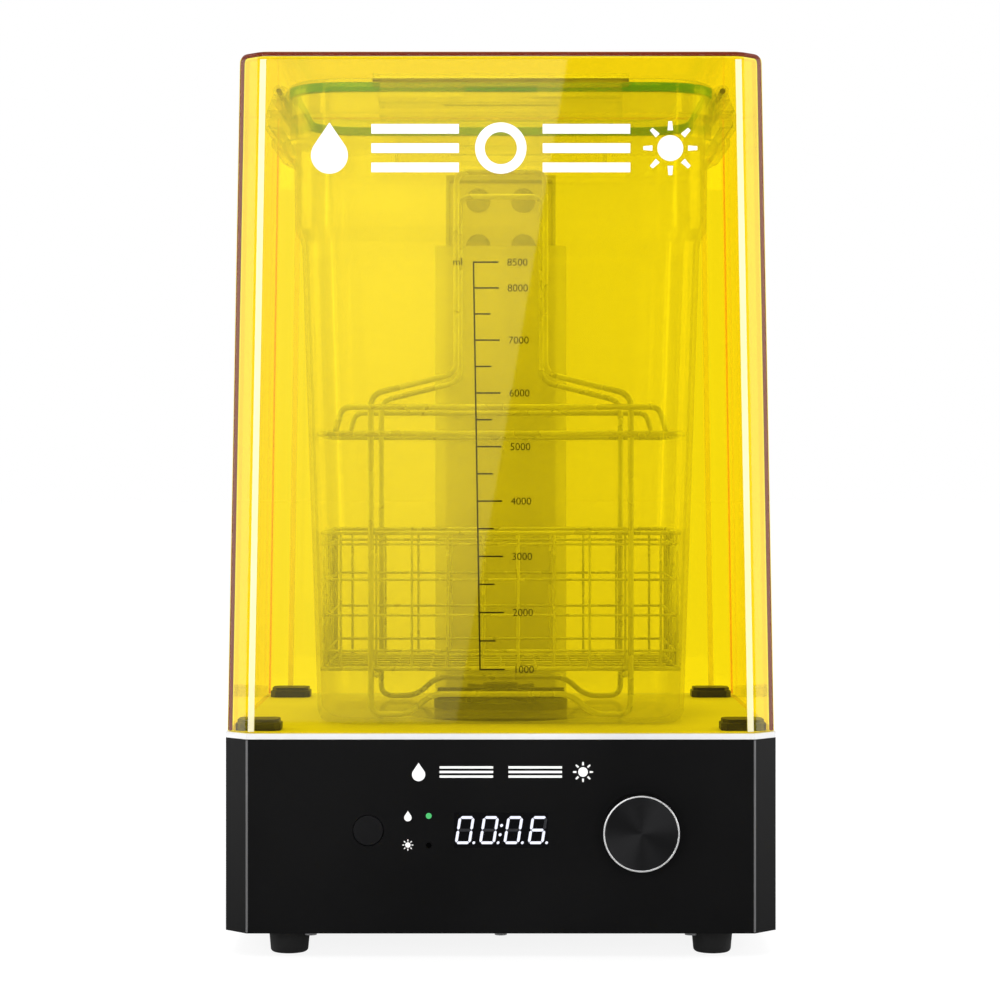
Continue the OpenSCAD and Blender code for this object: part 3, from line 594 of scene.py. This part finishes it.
def cover_ring(z, inset, soft):
    """The cover's outline at height z, with its eight corners rounded off by soft."""
    return round_path(cover_corners(z, inset), soft, closed=True, steps=5)


def build_cover():
    """The yellow shell: open below, with rounded top edges inside and out."""
    top, foot = cover_high.z, cover_low.z
    round_r, inner_r = 4.5 * MM, 1.5 * MM
    rings = []
    for i in range(5):
        a = math.radians(22.5 * i)
        rings.append(cover_ring(top - COVER_WALL - inner_r * (1 - math.cos(a)),
                                COVER_WALL + inner_r * (1 - math.sin(a)), 1.2 * MM))
    rings.append(cover_ring(foot + 0.4 * MM, COVER_WALL, 1.2 * MM))
    rings.append(cover_ring(foot, COVER_WALL - 0.4 * MM, 1.2 * MM))
    rings.append(cover_ring(foot, 0.4 * MM, 2.2 * MM))
    rings.append(cover_ring(foot + 0.4 * MM, 0, 2.2 * MM))
    for i in range(7):
        a = math.radians(15 * i)
        rings.append(cover_ring(top - round_r + round_r * math.sin(a),
                                round_r * (1 - math.cos(a)), 2.2 * MM))
    bm = bmesh.new()
    loft(bm, rings)
    add_piece("cover_shell", bm, "cover", [cover_yellow], ["cover"], 50)


def build_cover_seams():
    """Edge lines: dark red in front, painted shade for the wall seen edge-on; amber at the back; pale bands
    by the flat walls, painted highlights.
    """
    foot, top = cover_low.z + 0.6 * MM, cover_high.z - 1.7 * MM

    def seam(name, indexes, radius, material):
        """A line that climbs one upright edge, follows the top and comes down another."""
        inset = 1.5 * MM
        below, above = cover_corners(foot, inset), cover_corners(top, inset)
        path = [below[indexes[0]]] + [above[i] for i in indexes] + [below[indexes[-1]]]
        bm = bmesh.new()
        tube(bm, round_path(path, 4 * MM), radius)
        add_piece(name, bm, "cover", [material])

    # The dark red line is painted shade, the deep tint of the wall seen edge-on.
    seam("cover_painted_edge_shade", (7, 0, 1, 2), 1.15 * MM, painted_shade_red)
    seam("cover_amber_rim_line", (3, 4, 5, 6), 0.6 * MM, amber_rim_line)
    # The pale bands beside the front edges are painted highlights.
    bm = bmesh.new()
    band_near, band_far, proud = 0.4, 3.6, -0.06
    for index in (0, 1, 4, 5):
        rings = []
        for z in (foot, top - 3 * MM):
            corner = cover_corners(z, 0)[index]
            along = -math.copysign(MM, corner.x)
            into = -math.copysign(MM, corner.y - COVER_Y)
            rings.append([corner + Vector((u * along, v * into, 0)) for u, v in
                          ((band_near, proud), (band_far, proud), (band_far, 2.65), (band_near, 2.65))])
        loft(bm, rings)
    add_piece("cover_painted_highlight_bands", bm, "cover", [painted_highlight_pale])


build_studio()
build_camera()
build_cover()
build_cover_seams()


# ---- wash tub
STAND_Z = tub_low.z
FLOOR_Z = STAND_Z + 2.5 * MM
SLOPE_TOP = 379 * MM
FOOT_W, FOOT_D = 100.5 * MM, 80 * MM
TUB_RISE = 8.3 * MM
TUB_WALL = 2.2 * MM


def outlines(*rows):
    """Rounded rectangles round the tub's middle: half width, half depth, radius and height in mm."""
    return [ring_points(*(value * MM for value in row)) for row in rows]


def tub_ring(z, inset):
    """The sloping part of the tub wall at height z."""
    share = (z - STAND_Z) / (SLOPE_TOP - STAND_Z)
    return ring_points(FOOT_W + TUB_RISE * share - inset, FOOT_D + TUB_RISE * share - inset,
                       26 * MM - inset / 2, z)


def tub_front_y(z):
    """Where the front face of the tub is at height z."""
    return TUB_Y - FOOT_D - TUB_RISE * (z - STAND_Z) / (SLOPE_TOP - STAND_Z)


def build_tub():
    """The clear tub with its collar, flange, side lugs and the boss under the impeller."""
    foot = STAND_Z / MM
    rings = outlines((93.5, 73, 20, foot), (97, 76.5, 23, foot + 0.4), (98.9, 78.4, 24.5, foot + 1.8))
    rings += [tub_ring(z, 0) for z in (STAND_Z + 6 * MM, 250 * MM, 377 * MM)]
    rings += outlines(
        (109.6, 89.1, 26.6, 380.2), (111.9, 91.4, 27.8, 384.2), (112.5, 92, 28, 386),
        (112.9, 92.4, 28.4, 426.4), (114.2, 93.7, 29.5, 428.4), (118.9, 98.4, 33.6, 429.9),
        (119.4, 98.9, 34, 430.5), (119.4, 98.9, 34, 432.6), (118.9, 98.4, 33.6, 433.1),
        (115.6, 95.1, 31, 433.6), (115, 94.5, 30.5, 434.4), (115, 94.5, 30.5, 456.9),
        (114.4, 93.9, 30.1, 457.5), (112.6, 92.1, 28.6, 457.5), (112, 91.5, 28.1, 456.8),
        (111.2, 90.7, 27.4, 396), (110.6, 90.1, 27, 391))
    rings += [tub_ring(z, TUB_WALL) for z in (SLOPE_TOP, 250 * MM, STAND_Z + 8 * MM)]
    rings += outlines((95.4, 74.9, 22.5, foot + 4.6), (92.5, 72, 19.5, foot + 2.8),
                      (90, 69.5, 17.5, foot + 2.5))
    bm = bmesh.new()
    loft(bm, rings)
    lug_half = 46
    for side in (-1, 1):
        profile = ((118.6, 430.2), (127.0, 434.4), (127.5, 435.2), (127.5, 438.4), (126.9, 439),
                   (125.9, 439), (125.4, 438.5), (121, 432.8), (118.6, 432.4))
        rows = []
        for v, shrink in ((-lug_half, 3.5), (-lug_half + 4, 0.4), (-lug_half + 7, 0),
                          (lug_half - 7, 0), (lug_half - 4, 0.4), (lug_half, 3.5)):
            rows.append([Vector((side * max(u - shrink, 118.2) * MM, TUB_Y + v * MM, z * MM))
                         for u, z in profile])
        loft(bm, rows)
    lathe(bm, [(0, FLOOR_Z - 1.5 * MM), (6.6 * MM, FLOOR_Z - 1.5 * MM), (6.6 * MM, FLOOR_Z + 0.1 * MM),
               (6.2 * MM, FLOOR_Z + 0.3 * MM), (0, FLOOR_Z + 0.3 * MM)], Vector((0, TUB_Y, 0)), 48)
    add_piece("tub_shell", bm, "tub", [tub_plastic], ["tub"], 40)


def level_height(litres):
    """Height of a volume mark: the tub widens upwards, so the marks get closer."""
    z, volume = 147.3, 1.0
    step = 0.125
    while volume < litres - 1e-6:
        share = (z - STAND_Z / MM) / ((SLOPE_TOP - STAND_Z) / MM)
        grow = 6.6 * share
        area = 4 * (99.8 + grow) * (79.2 + grow)
        z += step * 1e6 / area
        volume += step
    return z * MM


def scale_x(z):
    """The printed line leans a little to the left on its way up."""
    return (-11.2 - 3.5 * (z / MM - 147.3) / 220) * MM


def add_text(bm, words, size, left, base, y):
    """Flat lettering in the X-Z plane, facing -Y."""
    curve = bpy.data.curves.new("words", "FONT")
    curve.body = words
    curve.size = size
    curve.resolution_u = 6
    curve.extrude = 0.05 * MM
    curve.offset = -0.02 * MM
    holder = bpy.data.objects.new("words", curve)
    SCENE.collection.objects.link(holder)
    bpy.context.view_layer.update()
    mesh = bpy.data.meshes.new_from_object(holder.evaluated_get(bpy.context.evaluated_depsgraph_get()))
    bpy.data.objects.remove(holder)
    turn = Matrix.Translation((left, y, base)) @ Matrix.Rotation(math.radians(90), 4, "X")
    mesh.transform(turn)
    bm.from_mesh(mesh)
    bpy.data.meshes.remove(mesh)


def build_volume_scale():
    """Printed line, marks and numbers on the front of the tub."""
    ink = 0.12 * MM
    bm = bmesh.new()

    def bar(x0, x1, z0, z1, lean=0.0):
        outline = ((x0, z0), (x1, z0), (x1 + lean, z1), (x0 + lean, z1))
        flat_shape(bm, outline,
                   lambda x, depth, z: Vector((x, tub_front_y(z) - 0.16 * MM + depth, z)), ink)

    half = 0.4 * MM
    levels = [1 + 0.5 * k for k in range(16)]
    heights = [level_height(v) for v in levels]
    for low, high in zip(heights, heights[1:]):
        bar(scale_x(low) - half, scale_x(low) + half, low - half, high + half, scale_x(high) - scale_x(low))
    for v, z in zip(levels, heights):
        labelled = v == int(v) or v == 8.5
        bar(scale_x(z), scale_x(z) + (13.4 if labelled else 8.6) * MM, z - half, z + half)
        if labelled:
            add_text(bm, str(int(v * 1000)), 5.6 * MM, scale_x(z) + 18.0 * MM, z - 1.9 * MM,
                     tub_front_y(z) - 0.1 * MM)
    top = heights[-1]
    add_text(bm, "ml", 5.4 * MM, scale_x(top) - 11.2 * MM, top - 1.6 * MM, tub_front_y(top) - 0.1 * MM)
    add_piece("tub_volume_scale", bm, "tub", [ink_dark])


# ---- wire rack and basket
WIRE_R = 1.6 * MM
MESH_R = 0.75 * MM
LOOP_Y = 64 * MM
rack_low, rack_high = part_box("rack_front_loop")
RACK_Z = rack_low.z + WIRE_R
LOOP_HALF = rack_high.x - WIRE_R
HANDLE_TOP = rack_high.z - WIRE_R


def add_wires(name, node, paths, soft=0.0, closed=False, steps=6):
    """Heavy rack wires along the paths, with soft bends, shown instead of the CAD node."""
    bm = bmesh.new()
    for path in paths:
        tube(bm, round_path(path, soft, closed, steps), WIRE_R, closed, sides=16)
    add_piece(name, bm, "rack", [wire_steel], [node], 60)


def build_rack():
    """Two tall loops with narrow handles, the ties between them, the ring and the basket's hangers."""
    foot_x, arch_x, handle_x = 50 * MM, 38 * MM, 24.3 * MM
    arch_z, shoulder_z, neck_z = RACK_Z + 11 * MM, 296.5 * MM, 308 * MM
    half = [(arch_x, arch_z), (foot_x, RACK_Z), (LOOP_HALF, RACK_Z), (LOOP_HALF, shoulder_z),
            (handle_x, neck_z), (handle_x, HANDLE_TOP)]
    corners = [(-x, z) for x, z in half[2::-1]] + half + [(-x, z) for x, z in half[:2:-1]]
    for name, side in (("rack_front_loop", -1), ("rack_back_loop", 1)):
        path = [Vector((x, TUB_Y + side * LOOP_Y, z)) for x, z in corners]
        add_wires(name + "_wire", name, [path], 7 * MM, closed=True, steps=8)

    low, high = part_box("rack_ties")
    z, end = (low.z + high.z) / 2, 0.6 * MM
    add_wires("rack_tie_wires", "rack_ties", [
        [Vector((side * (high.x - WIRE_R), y, z)) for y in (low.y + end, high.y - end)] for side in (-1, 1)])

    low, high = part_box("rack_ring")
    z = (low.z + high.z) / 2
    corners = octagon(high.x - WIRE_R, high.y - WIRE_R - TUB_Y, 5 * MM)
    add_wires("rack_ring_wire", "rack_ring", [[Vector((x, TUB_Y + y, z)) for x, y in corners]],
              4 * MM, closed=True)

    low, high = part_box("rack_hangers")
    foot, top = low.z + 0.5 * MM, high.z - WIRE_R
    shape = ((-90 * MM, foot), (-86.5 * MM, top), (86.5 * MM, top), (90 * MM, foot))
    add_wires("rack_hanger_wires", "rack_hangers", [
        [Vector((x, TUB_Y + side * (high.y - WIRE_R - TUB_Y), z)) for x, z in shape]
        for side in (-1, 1)], 5 * MM)


def build_basket():
    """Welded mesh: thin wires crossing side by side between heavier bottom and top rims."""
    pitch = 19.5 * MM
    first_row = 11 * MM
    rim_r = 1.3 * MM
    front_low, front_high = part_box("basket_front")
    floor_low, floor_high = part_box("basket_floor")
    hw = front_high.x
    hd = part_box("basket_back")[1].y - TUB_Y
    z0, z1 = front_low.z, front_high.z

    def steps(start, stop):
        return [start + pitch * k for k in range(int((stop - start) / pitch + 1e-6) + 1)]

    def columns(half):
        reach = (int(2 * half / pitch) - 1) * pitch / 2
        return steps(-reach, reach)

    def panel(name, node, along, across, half):
        """along is a unit vector; across runs from the middle of the basket to the wall."""
        middle = Vector((0, TUB_Y, 0))
        bm = bmesh.new()
        depth = across.length
        out = across.normalized()

        def line(u0, u1, za, zb, inset, radius):
            a = middle + along * u0 + out * (depth - inset) + Vector((0, 0, za))
            b = middle + along * u1 + out * (depth - inset) + Vector((0, 0, zb))
            tube(bm, [a, b], radius, sides=10)

        for z in (z0 + rim_r, z1 - rim_r):
            line(-half, half, z, z, rim_r, rim_r)
        for z in steps(z0 + first_row, z1 - 5 * MM):
            line(-half, half, z, z, 2.6 * MM, MESH_R)
        for u in columns(half):
            line(u, u, z0 + rim_r, z1 - rim_r, 1.3 * MM, MESH_R)
        for s in (-1, 1):
            line(s * (half - 1.4 * MM), s * (half - 1.4 * MM), z0 + rim_r, z1 - rim_r, 1.3 * MM, MESH_R)
        add_piece(name, bm, "rack", [wire_steel], [node], 60)

    x_axis, y_axis = Vector((1, 0, 0)), Vector((0, 1, 0))
    side_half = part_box("basket_left")[1].y - TUB_Y
    panel("basket_front_mesh", "basket_front", x_axis, -y_axis * hd, hw)
    panel("basket_back_mesh", "basket_back", x_axis, y_axis * hd, hw)
    panel("basket_left_mesh", "basket_left", y_axis, -x_axis * hw, side_half)
    panel("basket_right_mesh", "basket_right", y_axis, x_axis * hw, side_half)
    bm = bmesh.new()
    z = (floor_low.z + floor_high.z) / 2
    edge, apart = 1 * MM, 0.35 * MM
    for x in columns(floor_high.x) + [floor_low.x + edge, floor_high.x - edge]:
        ends = [Vector((x, y, z - apart)) for y in (floor_low.y, floor_high.y)]
        tube(bm, ends, MESH_R, sides=10)
    rows = steps(floor_low.y + first_row, floor_high.y - 5 * MM)
    for y in rows + [floor_low.y + edge, floor_high.y - edge]:
        ends = [Vector((x, y, z + apart)) for x in (floor_low.x, floor_high.x)]
        tube(bm, ends, MESH_R, sides=10)
    add_piece("basket_floor_mesh", bm, "rack", [wire_steel], ["basket_floor"], 60)


build_tub()
build_volume_scale()
build_rack()
build_basket()


# ---- lid and latches
def build_lid():
    """The lid's rounded rim and sunken top, with two ears for each latch."""
    rings = outlines(
        (100, 79.5, 20, 462.8), (115.0, 94.5, 30.4, 462.8), (115.6, 95.1, 31, 462.3),
        (115.6, 95.1, 31, 446.4), (115.9, 95.4, 31.2, 446), (117.6, 97.1, 32.7, 446),
        (118, 97.5, 33, 446.4), (118, 97.5, 33, 456.5), (117.7, 97.2, 32.8, 459.3),
        (116.7, 96.2, 32, 461.8), (115.0, 94.5, 31, 463.9), (112.6, 92.1, 29.4, 465.1),
        (109.6, 89.1, 27.5, 465.5), (101, 80.5, 23, 465.5), (99.6, 79.1, 22, 465.1),
        (98.4, 77.9, 21, 464.2), (96, 75.5, 19, 464.1))
    bm = bmesh.new()
    loft(bm, rings)
    for k, length in enumerate((129, 110, 129, 110)):
        for s in (-1, 1):
            add_ear(bm, k, s * (length / 2 + 2.0) * MM)
    add_piece("lid_shell", bm, "lid", [lid_plastic], ["lid"], 40)


HINGE_OUT = 3.7 * MM
HINGE_Z = 463 * MM
LID_HALF = (97.5 * MM, 118 * MM)


def at_side(k):
    """Turns hinge coordinates, x along the side and -y outwards, into the row frame for side k."""
    reach = LID_HALF[k % 2] + HINGE_OUT
    return (Matrix.Translation((0, TUB_Y, HINGE_Z)) @ Matrix.Rotation(math.radians(90 * k), 4, "Z")
            @ Matrix.Translation((0, -reach, 0)))


def add_profile(bm, place, profile, x0, x1, edge=0.5 * MM):
    """Extrudes a (y, z) profile from x0 to x1 with its end faces pulled in for a soft edge."""
    cy = sum(p[0] for p in profile) / len(profile)
    cz = sum(p[1] for p in profile) / len(profile)
    rings = []
    for x, pull in ((x0, 1), (x0 + edge * 0.35, 0.3), (x0 + edge, 0),
                    (x1 - edge, 0), (x1 - edge * 0.35, 0.3), (x1, 1)):
        ring = []
        for y, z in profile:
            away = Vector((cy - y, cz - z))
            move = away.normalized() * min(edge * pull, away.length * 0.5)
            ring.append(place @ Vector((x, y + move.x, z + move.y)))
        rings.append(ring)
    loft(bm, rings)


def add_ear(bm, k, x):
    """One of the lid's lugs that hold a latch pin."""
    half = 1.7 * MM
    profile = [(-3.4 * MM * math.sin(math.radians(a)), 3.4 * MM * math.cos(math.radians(a)))
               for a in range(0, 181, 15)]
    profile += in_mm((5.2, -3.4), (5.2, 1.2), (2, 3.0))
    add_profile(bm, at_side(k), profile, x - half, x + half, 0.4 * MM)


def build_latch(k, name, length):
    """A snap latch: hinge barrel, bulged plate with a window slot, a hollow back and a grip groove."""
    place = at_side(k)
    half = length / 2 * MM
    slot = 19 * MM
    bm = bmesh.new()

    def outer(z):
        """How far the latch bulges out at height z below the hinge."""
        t = max(0.0, min(1.0, -z / (17.5 * MM)))
        return -(3.3 + 5.0 * math.sin(t * math.pi / 2) ** 1.4) * MM

    def plate(x0, x1, z_high, z_low, steps=8, lip=False):
        back = 1.5 * MM
        outside = [(outer(z_high + (z_low - z_high) * i / steps), z_high + (z_low - z_high) * i / steps)
                   for i in range(steps + 1)]
        if lip:
            outside += in_mm((-7.9, -20.4), (-6.6, -21.7), (-5.4, -22), (0.5, -22), (1.5, -20.9),
                             (1.5, -19.8), (-5.4, -19.6))
            inside = in_mm((-5.9, -17), (-4.8, -12.5), (1.5, -12.3))
        else:
            inside = [(back, z_low)]
        profile = outside + inside + [(back, z_high)]
        add_profile(bm, place, profile, x0, x1)

    add_profile(bm, place, ring_of(20, 3.35 * MM, 0, 0), -half, half)
    plate(-half, half, -1.0 * MM, -4.2 * MM, 3)
    plate(-half, -slot, -4.0 * MM, -10.2 * MM, 5)
    plate(slot, half, -4.0 * MM, -10.2 * MM, 5)
    plate(-half, half, -10.0 * MM, -17.5 * MM, 8, lip=True)
    for s in (-1, 1):
        x0, x1 = sorted((s * half, s * (half - 2.4 * MM)))
        profile = in_mm((1.5, -12), (1.5, -20), (-5.6, -20), (-6.1, -17), (-5, -12.2))
        add_profile(bm, place, profile, x0, x1, 0.2 * MM)
    groove = [place @ Vector((s * half * 0.47, outer(-14.8 * MM) - 0.05 * MM, -14.8 * MM)) for s in (-1, 1)]
    tube(bm, groove, 0.45 * MM, sides=10, material_index=1)
    add_piece(name + "_shown", bm, name, [lid_plastic, moulded_grip], [name], 40)


build_lid()
build_latch(0, "latch_front", 129)
build_latch(1, "latch_right", 110)
build_latch(2, "latch_back", 129)
build_latch(3, "latch_left", 110)


# ---- knob and display
def knob_face_material():
    """Black anodised aluminium, spun: fine rings about the axis that spread the highlight into a cone."""
    low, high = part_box("knob_shell")
    material, node, link = new_material("knob_face")
    where = node("TexCoord")
    shift = node("VectorMath")
    shift.operation = "SUBTRACT"
    shift.inputs[1].default_value = ((low + high) / 2)[:]
    link(where.outputs["Object"], shift.inputs[0])
    flatten = node("VectorMath")
    flatten.operation = "MULTIPLY"
    flatten.inputs[1].default_value = (1, 0, 1)
    link(shift.outputs[0], flatten.inputs[0])
    length = node("VectorMath")
    length.operation = "LENGTH"
    link(flatten.outputs[0], length.inputs[0])
    rings = node("TexNoise", Scale=9000, Detail=2)
    rings.noise_dimensions = "1D"
    link(length.outputs["Value"], rings.inputs["W"])
    surface = node("BsdfPrincipled", Metallic=1.0, Roughness=0.34, Anisotropic=0.85,
                   Base_Color=(0.07, 0.07, 0.073, 1))
    normal = bumped(node, link, rings.outputs["Fac"], 0.12, 0.00006)
    link(normal, surface.inputs["Normal"])
    radial = node("VectorMath")
    radial.operation = "CROSS_PRODUCT"
    radial.inputs[1].default_value = (0, 1, 0)
    link(flatten.outputs[0], radial.inputs[0])
    link(radial.outputs[0], surface.inputs["Tangent"])
    link(surface.outputs[0], node("OutputMaterial").inputs["Surface"])
    return material


def build_knob():
    """The turned cap: a recessed face, a bright cut edge and a black side."""
    low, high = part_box("knob_shell")
    centre = Vector(((low.x + high.x) / 2, low.y, (low.z + high.z) / 2))
    r = (high.x - low.x) / 2
    depth = high.y - low.y
    rim = in_mm((-1.3, -0.35), (-1.15, -0.3), (-1.0, -0.1), (-0.9, 0), (-0.5, 0), (-0.2, -0.15),
                (-0.05, -0.4), (0, -0.9))
    profile = [(0, -0.35 * MM)] + [(r + u, v) for u, v in rim] + [
        (r, -depth + 0.4 * MM), (r - 0.3 * MM, -depth), (r - 1.6 * MM, -depth),
        (r - 1.6 * MM, -3 * MM), (0, -3 * MM)]
    bright_rows = {3, 4, 5}
    bm = bmesh.new()
    lathe(bm, profile, centre, 128, Matrix.Rotation(math.radians(90), 3, "X"),
          lambda row: 1 if row in bright_rows else (0 if row < min(bright_rows) else 2))
    add_piece("knob_shell_turned", bm, "knob",
              [knob_face_material(), chrome_cut, knob_side], ["knob_shell"], 30)


DIGITS = {"0": "abcdef", "6": "acdefg"}


def build_display():
    """Four slanted seven-segment digits, a colon and decimal points on the window's face."""
    centre_x = (window_low.x + window_high.x) / 2
    centre_z = (window_low.z + window_high.z) / 2
    pitch, height, width, thick = 12.7 * MM, 14.6 * MM, 8.3 * MM, 1.4 * MM
    slant = math.tan(math.radians(9))
    lit, off = bmesh.new(), bmesh.new()

    def place(x, depth, z):
        return Vector((centre_x + x + slant * z, window_low.y - 0.14 * MM + depth, centre_z + z))

    def segment(bm, x, z, length, upright):
        a, b = length / 2 - 0.22 * MM, thick / 2
        outline = [(-a, 0), (-a + b, -b), (a - b, -b), (a, 0), (a - b, b), (-a + b, b)]
        if upright:
            outline = [(-v, u) for u, v in outline]
        flat_shape(bm, [(x + u, z + v) for u, v in outline], place, 0.12 * MM)

    def dot(bm, x, z, radius):
        flat_shape(bm, ring_of(12, radius, x, z), place, 0.12 * MM)

    half_w, half_h = width / 2 - thick / 2, height / 2 - thick / 2
    spots = {"a": (0, half_h, False), "d": (0, -half_h, False), "g": (0, 0, False),
             "b": (half_w, half_h / 2, True), "c": (half_w, -half_h / 2, True),
             "e": (-half_w, -half_h / 2, True), "f": (-half_w, half_h / 2, True)}
    for index, digit in enumerate("0006"):
        x = (index - 1.5) * pitch
        for key, (dx, dz, upright) in spots.items():
            length = half_h if upright else 2 * half_w
            segment(lit if key in DIGITS[digit] else off, x + dx, dz, length, upright)
        dot(lit, x + width / 2 + 1.6 * MM, -height / 2 + 0.7 * MM, 0.75 * MM)
    for z in (-2.4 * MM, 2.4 * MM):
        dot(lit, -0.2 * MM, z, 0.8 * MM)
    add_piece("display_digits_lit", lit, "base", [segment_lit])
    add_piece("display_digits_unlit", off, "base", [segment_off])


def droplet(x, z, height):
    """Outline of a drop: a round foot and a pointed top."""
    r = 0.36 * height
    middle = z - height / 2 + r
    half = math.degrees(math.acos(r / (height - r)))
    steps = 28
    foot = []
    for i in range(steps + 1):
        a = math.radians(90 + half + (360 - 2 * half) * i / steps)
        foot.append((x + r * math.cos(a), middle + r * math.sin(a)))
    return [[(x, z + height / 2)] + foot]


def bars(x, z, length, height):
    """Outlines of three level bars stacked over a height, as thick as the gaps between them."""
    count = 3
    thick = height / (2 * count - 1)
    rows = [z - height / 2 + 2 * thick * i for i in range(count)]
    return [[(x - length / 2, low), (x + length / 2, low), (x + length / 2, low + thick),
             (x - length / 2, low + thick)] for low in rows]


def sun(x, z, height):
    """Outlines of a disc with eight rays round it."""
    shapes = [ring_of(24, 0.24 * height, x, z)]
    for i in range(8):
        a = math.radians(45 * i)
        along, across = Vector((math.cos(a), math.sin(a))), Vector((-math.sin(a), math.cos(a)))
        corners = ((0.33, -0.05), (0.5, -0.035), (0.5, 0.035), (0.33, 0.05))
        shapes.append([tuple(Vector((x, z)) + height * (u * along + v * across)) for u, v in corners])
    return shapes


def hoop(x, z, height, thick):
    """Outlines of the pieces of a plain ring."""
    outer, inner = ring_of(48, height / 2, x, z), ring_of(48, height / 2 - thick, x, z)
    return [[outer[i], outer[(i + 1) % 48], inner[(i + 1) % 48], inner[i]] for i in range(48)]


def add_print(name, body, shapes, surface_y):
    """Flat white marks, 0.1 mm thick, just in front of a face that faces -Y."""
    bm = bmesh.new()
    for outline in shapes:
        flat_shape(bm, outline, lambda x, depth, z: Vector((x, surface_y(z) - 0.12 * MM + depth, z)),
                   0.1 * MM)
    add_piece(name, bm, body, [print_white])


def build_prints():
    """Generic marks: drops stand for washing, suns for curing."""
    row_z, tall = 424 * MM, 27 * MM
    row = droplet(-90 * MM, row_z, tall) + sun(89 * MM, row_z, 1.05 * tall)
    row += hoop(0, row_z, tall, 5 * MM)
    for side in (-1, 1):
        row += bars(side * 45 * MM, row_z, 46 * MM, 0.94 * tall)
    add_print("cover_print", "cover", row, lambda z: cover_corners(z, 0)[0].y)
    name_z = 97 * MM
    marks = droplet(-43 * MM, name_z, 9.6 * MM) + sun(43 * MM, name_z, 10.5 * MM)
    marks += bars(-18 * MM, name_z, 28 * MM, 6 * MM) + bars(18 * MM, name_z, 28 * MM, 6 * MM)
    marks += droplet(-48.6 * MM, 73.9 * MM, 5.4 * MM) + sun(-48.6 * MM, 58.8 * MM, 5.8 * MM)
    add_print("base_print", "base", marks, lambda z: FRONT_Y)


def build_base_edges():
    """Painted highlights on the base's front edges: lighter strips 0.03 mm proud, folded round the corners.
    """
    low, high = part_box("base_housing")
    reach, proud = 0.65 * MM, 0.03 * MM
    slope = reach * math.sqrt(0.5)
    bm = bmesh.new()
    for side in (-1, 1):
        corner_x = side * (high.x - BASE_CUT)
        rings = []
        for z in (low.z + 0.5 * MM, high.z - 0.5 * MM):
            rings.append([Vector((corner_x + side * x, low.y + y, z)) for x, y in (
                (-reach, -proud), (proud * 0.4, -proud), (slope + proud * 0.7, slope - proud * 0.7),
                (slope - proud, slope + proud), (-proud, proud), (-reach, proud))])
        loft(bm, rings)
    add_piece("base_front_edge_highlights", bm, "base", [painted_highlight_grey])


build_knob()
build_display()
build_prints()


# ---- CAD pieces kept, with rounded edges
ROUNDED = (
    ("bottom_plate", "base", "housing_black", plate_black, 0.25),
    ("cover_blocks", "base", "moulded_black", moulded_black, 0.5),
    ("lamp_housing", "base", "lamp_metal", lamp_metal, 0.5),
    ("lamp_shield", "base", "shield_tint", shield_plastic, 0.4),
    ("power_jack", "base", "moulded_black", moulded_black, 0.3),
    ("rocker_frame", "base", "moulded_black", moulded_black, 0.4),
    ("power_rocker", "rocker", "button_black", button_black, 0.4),
    ("mode_button", "button", "button_black", button_black, 0.35),
    ("drive_disc", "drive", "moulded_black", moulded_black, 0.6),
    ("impeller", "impeller", "impeller_dark", impeller_dark, 0.5),
    ("lid_gasket", "lid", "gasket_teal", gasket_teal, 0.6),
    ("motor_bracket", "base", "motor_metal", motor_metal, 0.3),
)
KEPT = (
    (bare_steel, "bottom_screws foot_screws deck_screws motor_screws lamp_screws encoder_body "
                 "encoder_shaft motor_shaft impeller_pin latch_pins"),
    (moulded_black, "display_module button_switch encoder_plunger knob_hub"),
    (rubber_black, "rubber_feet"), (window_gloss, "display_window"), (led_lit, "wash_led"),
    (led_dark, "cure_led"), (board_green, "front_board main_board"), (board_white, "lamp_board"),
    (brass, "board_standoffs jack_pin"), (ribbon_grey, "ribbon_cable"), (motor_metal, "motor_can"),
    (magnet_nickel, "drive_magnets impeller_magnets"), (lens_plastic, "lamp_lenses"),
)
for node_name, body_name, slot_name, look, width_mm in ROUNDED:
    refined(node_name, body_name, look, width_mm * MM)
refined("base_housing", "base", powder_black, 0.9 * MM)
build_base_edges()
deck = refined("deck_plate", "base", deck_metal, 0.35 * MM)
deck.data.materials.append(deck_edge)
for face in deck.data.polygons:
    face.material_index = 1 if abs(face.normal.z) < 0.9 else 0
for look, node_names in KEPT:
    for node_name in node_names.split():
        kept_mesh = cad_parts[node_name].data
        kept_mesh.materials.clear()
        kept_mesh.materials.append(look)
